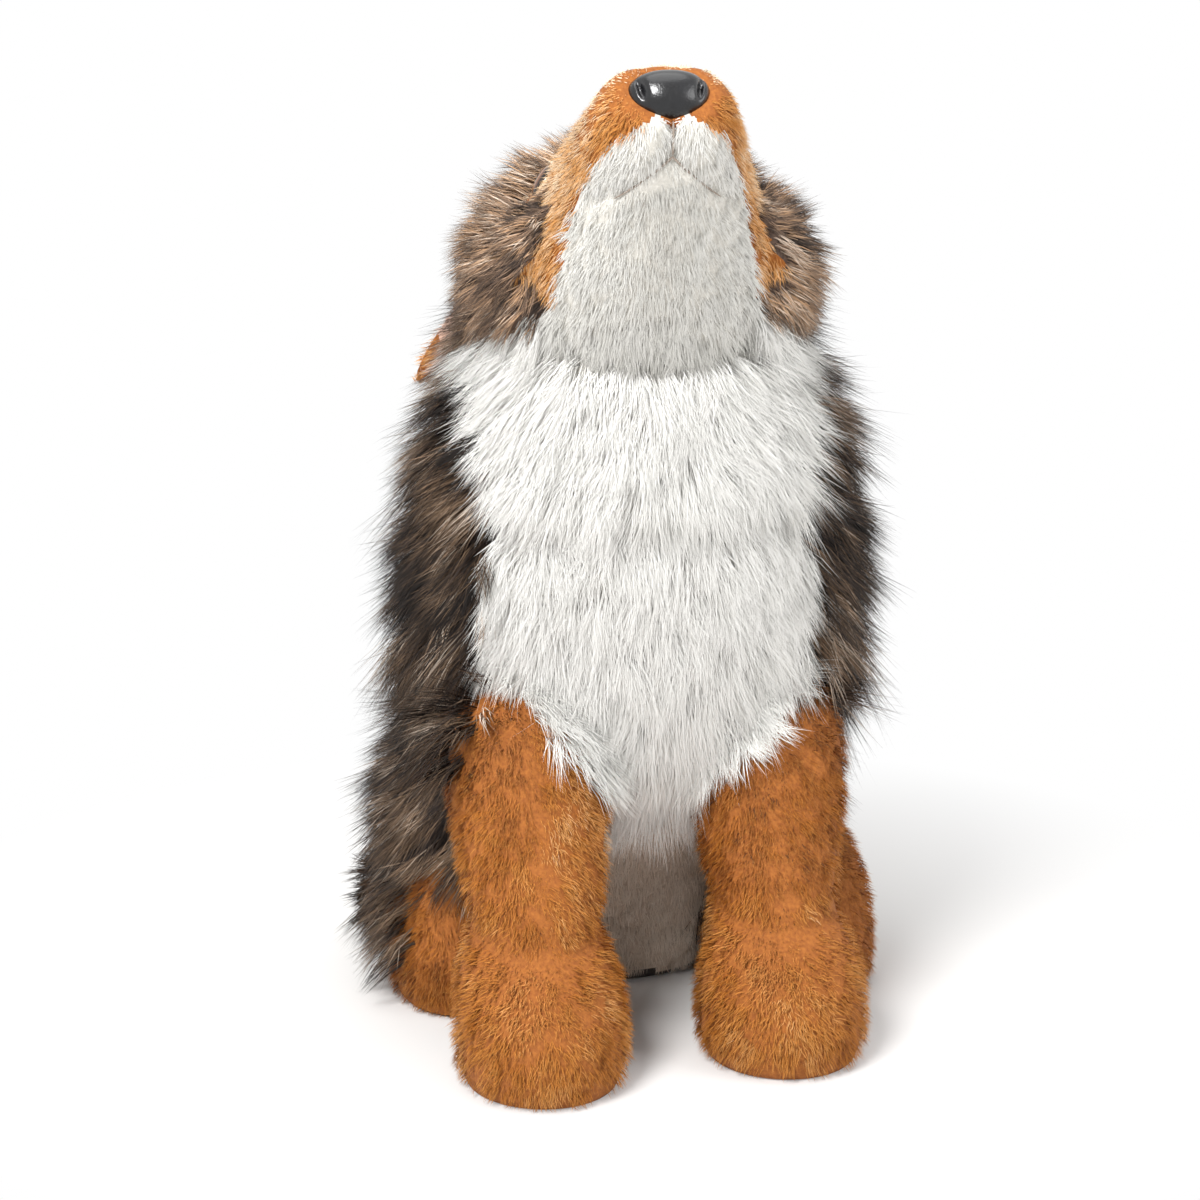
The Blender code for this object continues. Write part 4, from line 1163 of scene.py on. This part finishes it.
def make_hind_leg(side, word):
    foot = loft(hind_foot(side), 52, 48, 0.0018)
    foot.points[..., 2] = np.maximum(foot.points[..., 2], FLOOR_GAP)
    sole = centres(foot)[..., 2] < SOLE
    under = cloth_of("hind_sole_" + word + "_cloth", foot, sole, TAN_CLOTH)
    placed(under, "tan_plush", "hind_sole_" + word, fill=0.9)
    furred(
        "hind_foot_" + word, foot, ~sole, SHORT, downwards, hind_foot_painted_shade,
        *TAN, "tan_plush", ["hind_foot_" + word], 0.9,
        [(TORSO, 0.004), (haunch(side), 0.0)],
    )
    if side < 0:
        # on the right the coat's last locks hang down outside the foot
        middle = centres(foot)
        skirt = (hind_foot(side).middle - middle[..., 0] > 0.0165) & (middle[..., 2] > 0.020)
        fringe("skirt_lap_" + word, foot, skirt, SIDE, downwards, coat_shade, COAT_PILE, "coat_fur")
    thigh = loft(haunch(side), 54, 56, 0.003)
    everywhere = np.ones((53, 56), bool)
    furred(
        "haunch_" + word, thigh, everywhere, SIDE, down_and_out, coat_shade,
        *DARK, "coat_fur", ["haunch_" + word], 0.85, [(TORSO, 0.0)], haunch_growth,
    )


for side, word in ((1, "left"), (-1, "right")):
    make_foreleg(side, word)
    make_hind_leg(side, word)

# The stuffing and the lock washers inside keep their solids, in their own materials
FIBRE = cloth_material("polyester fibre stuffing", "#DAD8D2", "#F2F1EC", 2.5)
ACETAL = moulded("moulded white lock washer", "#B8B8B4", "#C8C8C4", 0.45, 0.0, 1.2, 0.1)
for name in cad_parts:
    if "stuffing" in name or "washer" in name:
        solid = bpy.data.objects[name]
        solid.data.materials.clear()
        solid.data.materials.append(FIBRE if "stuffing" in name else ACETAL)

# Stage, lights and camera


def seen_directly(tree):
    """1 for camera, mirror and glass rays, so the white ground shows in those alone."""
    rays = add(tree, "ShaderNodeLightPath").outputs
    larger = {"operation": "MAXIMUM"}
    camera, glossy, glass = (rays[f"Is {kind} Ray"] for kind in ("Camera", "Glossy", "Transmission"))
    first = add(tree, "ShaderNodeMath", larger, n0=camera, n1=glossy)
    return add(tree, "ShaderNodeMath", larger, n0=first.outputs[0], n1=glass).outputs[0]


def stage_material():
    """A white floor that keeps the toy's shadow within 12 cm of its middle, and from there to
    34 cm turns into the white of the world behind it."""
    material, tree, shader = shaded("matt white floor")
    shader.inputs["Base Color"].default_value = colour("#E0DEDC")
    shader.inputs["Roughness"].default_value = 0.9
    glow = add(tree, "ShaderNodeEmission", Color=(1, 1, 1, 1), Strength=1.0)
    where = add(tree, "ShaderNodeTexCoord").outputs["Object"]
    away = add(tree, "ShaderNodeVectorMath", {"operation": "LENGTH"}, n0=where).outputs["Value"]
    fade = add(tree, "ShaderNodeMapRange", n0=away, n1=0.12, n2=0.34, n3=0.0, n4=1.0)
    both_ways = {"operation": "MULTIPLY"}
    share = add(tree, "ShaderNodeMath", both_ways, n0=seen_directly(tree), n1=fade.outputs[0])
    diffuse, bright = shader.outputs[0], glow.outputs[0]
    both = add(tree, "ShaderNodeMixShader", n0=share.outputs[0], n1=diffuse, n2=bright)
    tree.links.new(both.outputs[0], tree.nodes["Material Output"].inputs["Surface"])
    return material


ground = np.array(((-30.0, -30, 0), (30, -30, 0), (30, 30, 0), (-30, 30, 0)))
mesh_of("floor", ground, np.arange(4), np.array([4]), stage_material())

world = bpy.data.worlds.new("studio")
bpy.context.scene.world = world
world.use_nodes = True
sky = world.node_tree
ambient = sky.nodes["Background"]
ambient.inputs["Color"].default_value = (1, 1, 1, 1)
ambient.inputs["Strength"].default_value = 0.50
white = add(sky, "ShaderNodeBackground", Color=(1, 1, 1, 1), Strength=1.0)
dim, bright = ambient.outputs[0], white.outputs[0]
mixed = add(sky, "ShaderNodeMixShader", n0=seen_directly(sky), n1=dim, n2=bright)
sky.links.new(mixed.outputs[0], sky.nodes["World Output"].inputs["Surface"])


def soft_light(name, place, target, size, power):
    lamp = bpy.data.lights.new(name, "AREA")
    lamp.shape = "DISK"
    lamp.size = size
    lamp.energy = power
    obj = bpy.data.objects.new(name, lamp)
    obj.location = place
    obj.rotation_euler = (Vector(target) - Vector(place)).to_track_quat("-Z", "Y").to_euler()
    bpy.context.scene.collection.objects.link(obj)


CHEST = (0, -0.05, 0.2)
soft_light("key", (-0.9, -1.3, 1.6), CHEST, 0.8, 58)
soft_light("fill", (1.4, -1.0, 0.9), CHEST, 1.2, 13)
soft_light("top", (0.0, 0.15, 2.2), CHEST, 2.0, 17)

AZIMUTH, ELEVATION, DISTANCE = math.radians(-9), math.radians(13.5), 1.415
AIM = Vector((-0.0125, -0.055, 0.174))
camera = bpy.data.cameras.new("camera")
camera.lens = 102
camera.sensor_width = 36
camera.clip_start = 0.05
viewer = bpy.data.objects.new("camera", camera)
away = Vector(
    (
        math.sin(AZIMUTH) * math.cos(ELEVATION),
        -math.cos(AZIMUTH) * math.cos(ELEVATION),
        math.sin(ELEVATION),
    )
)
viewer.location = AIM + away * DISTANCE
viewer.rotation_euler = (-away).to_track_quat("-Z", "Y").to_euler()
bpy.context.scene.collection.objects.link(viewer)
bpy.context.scene.camera = viewer
bpy.context.scene.view_settings.view_transform = "Standard"
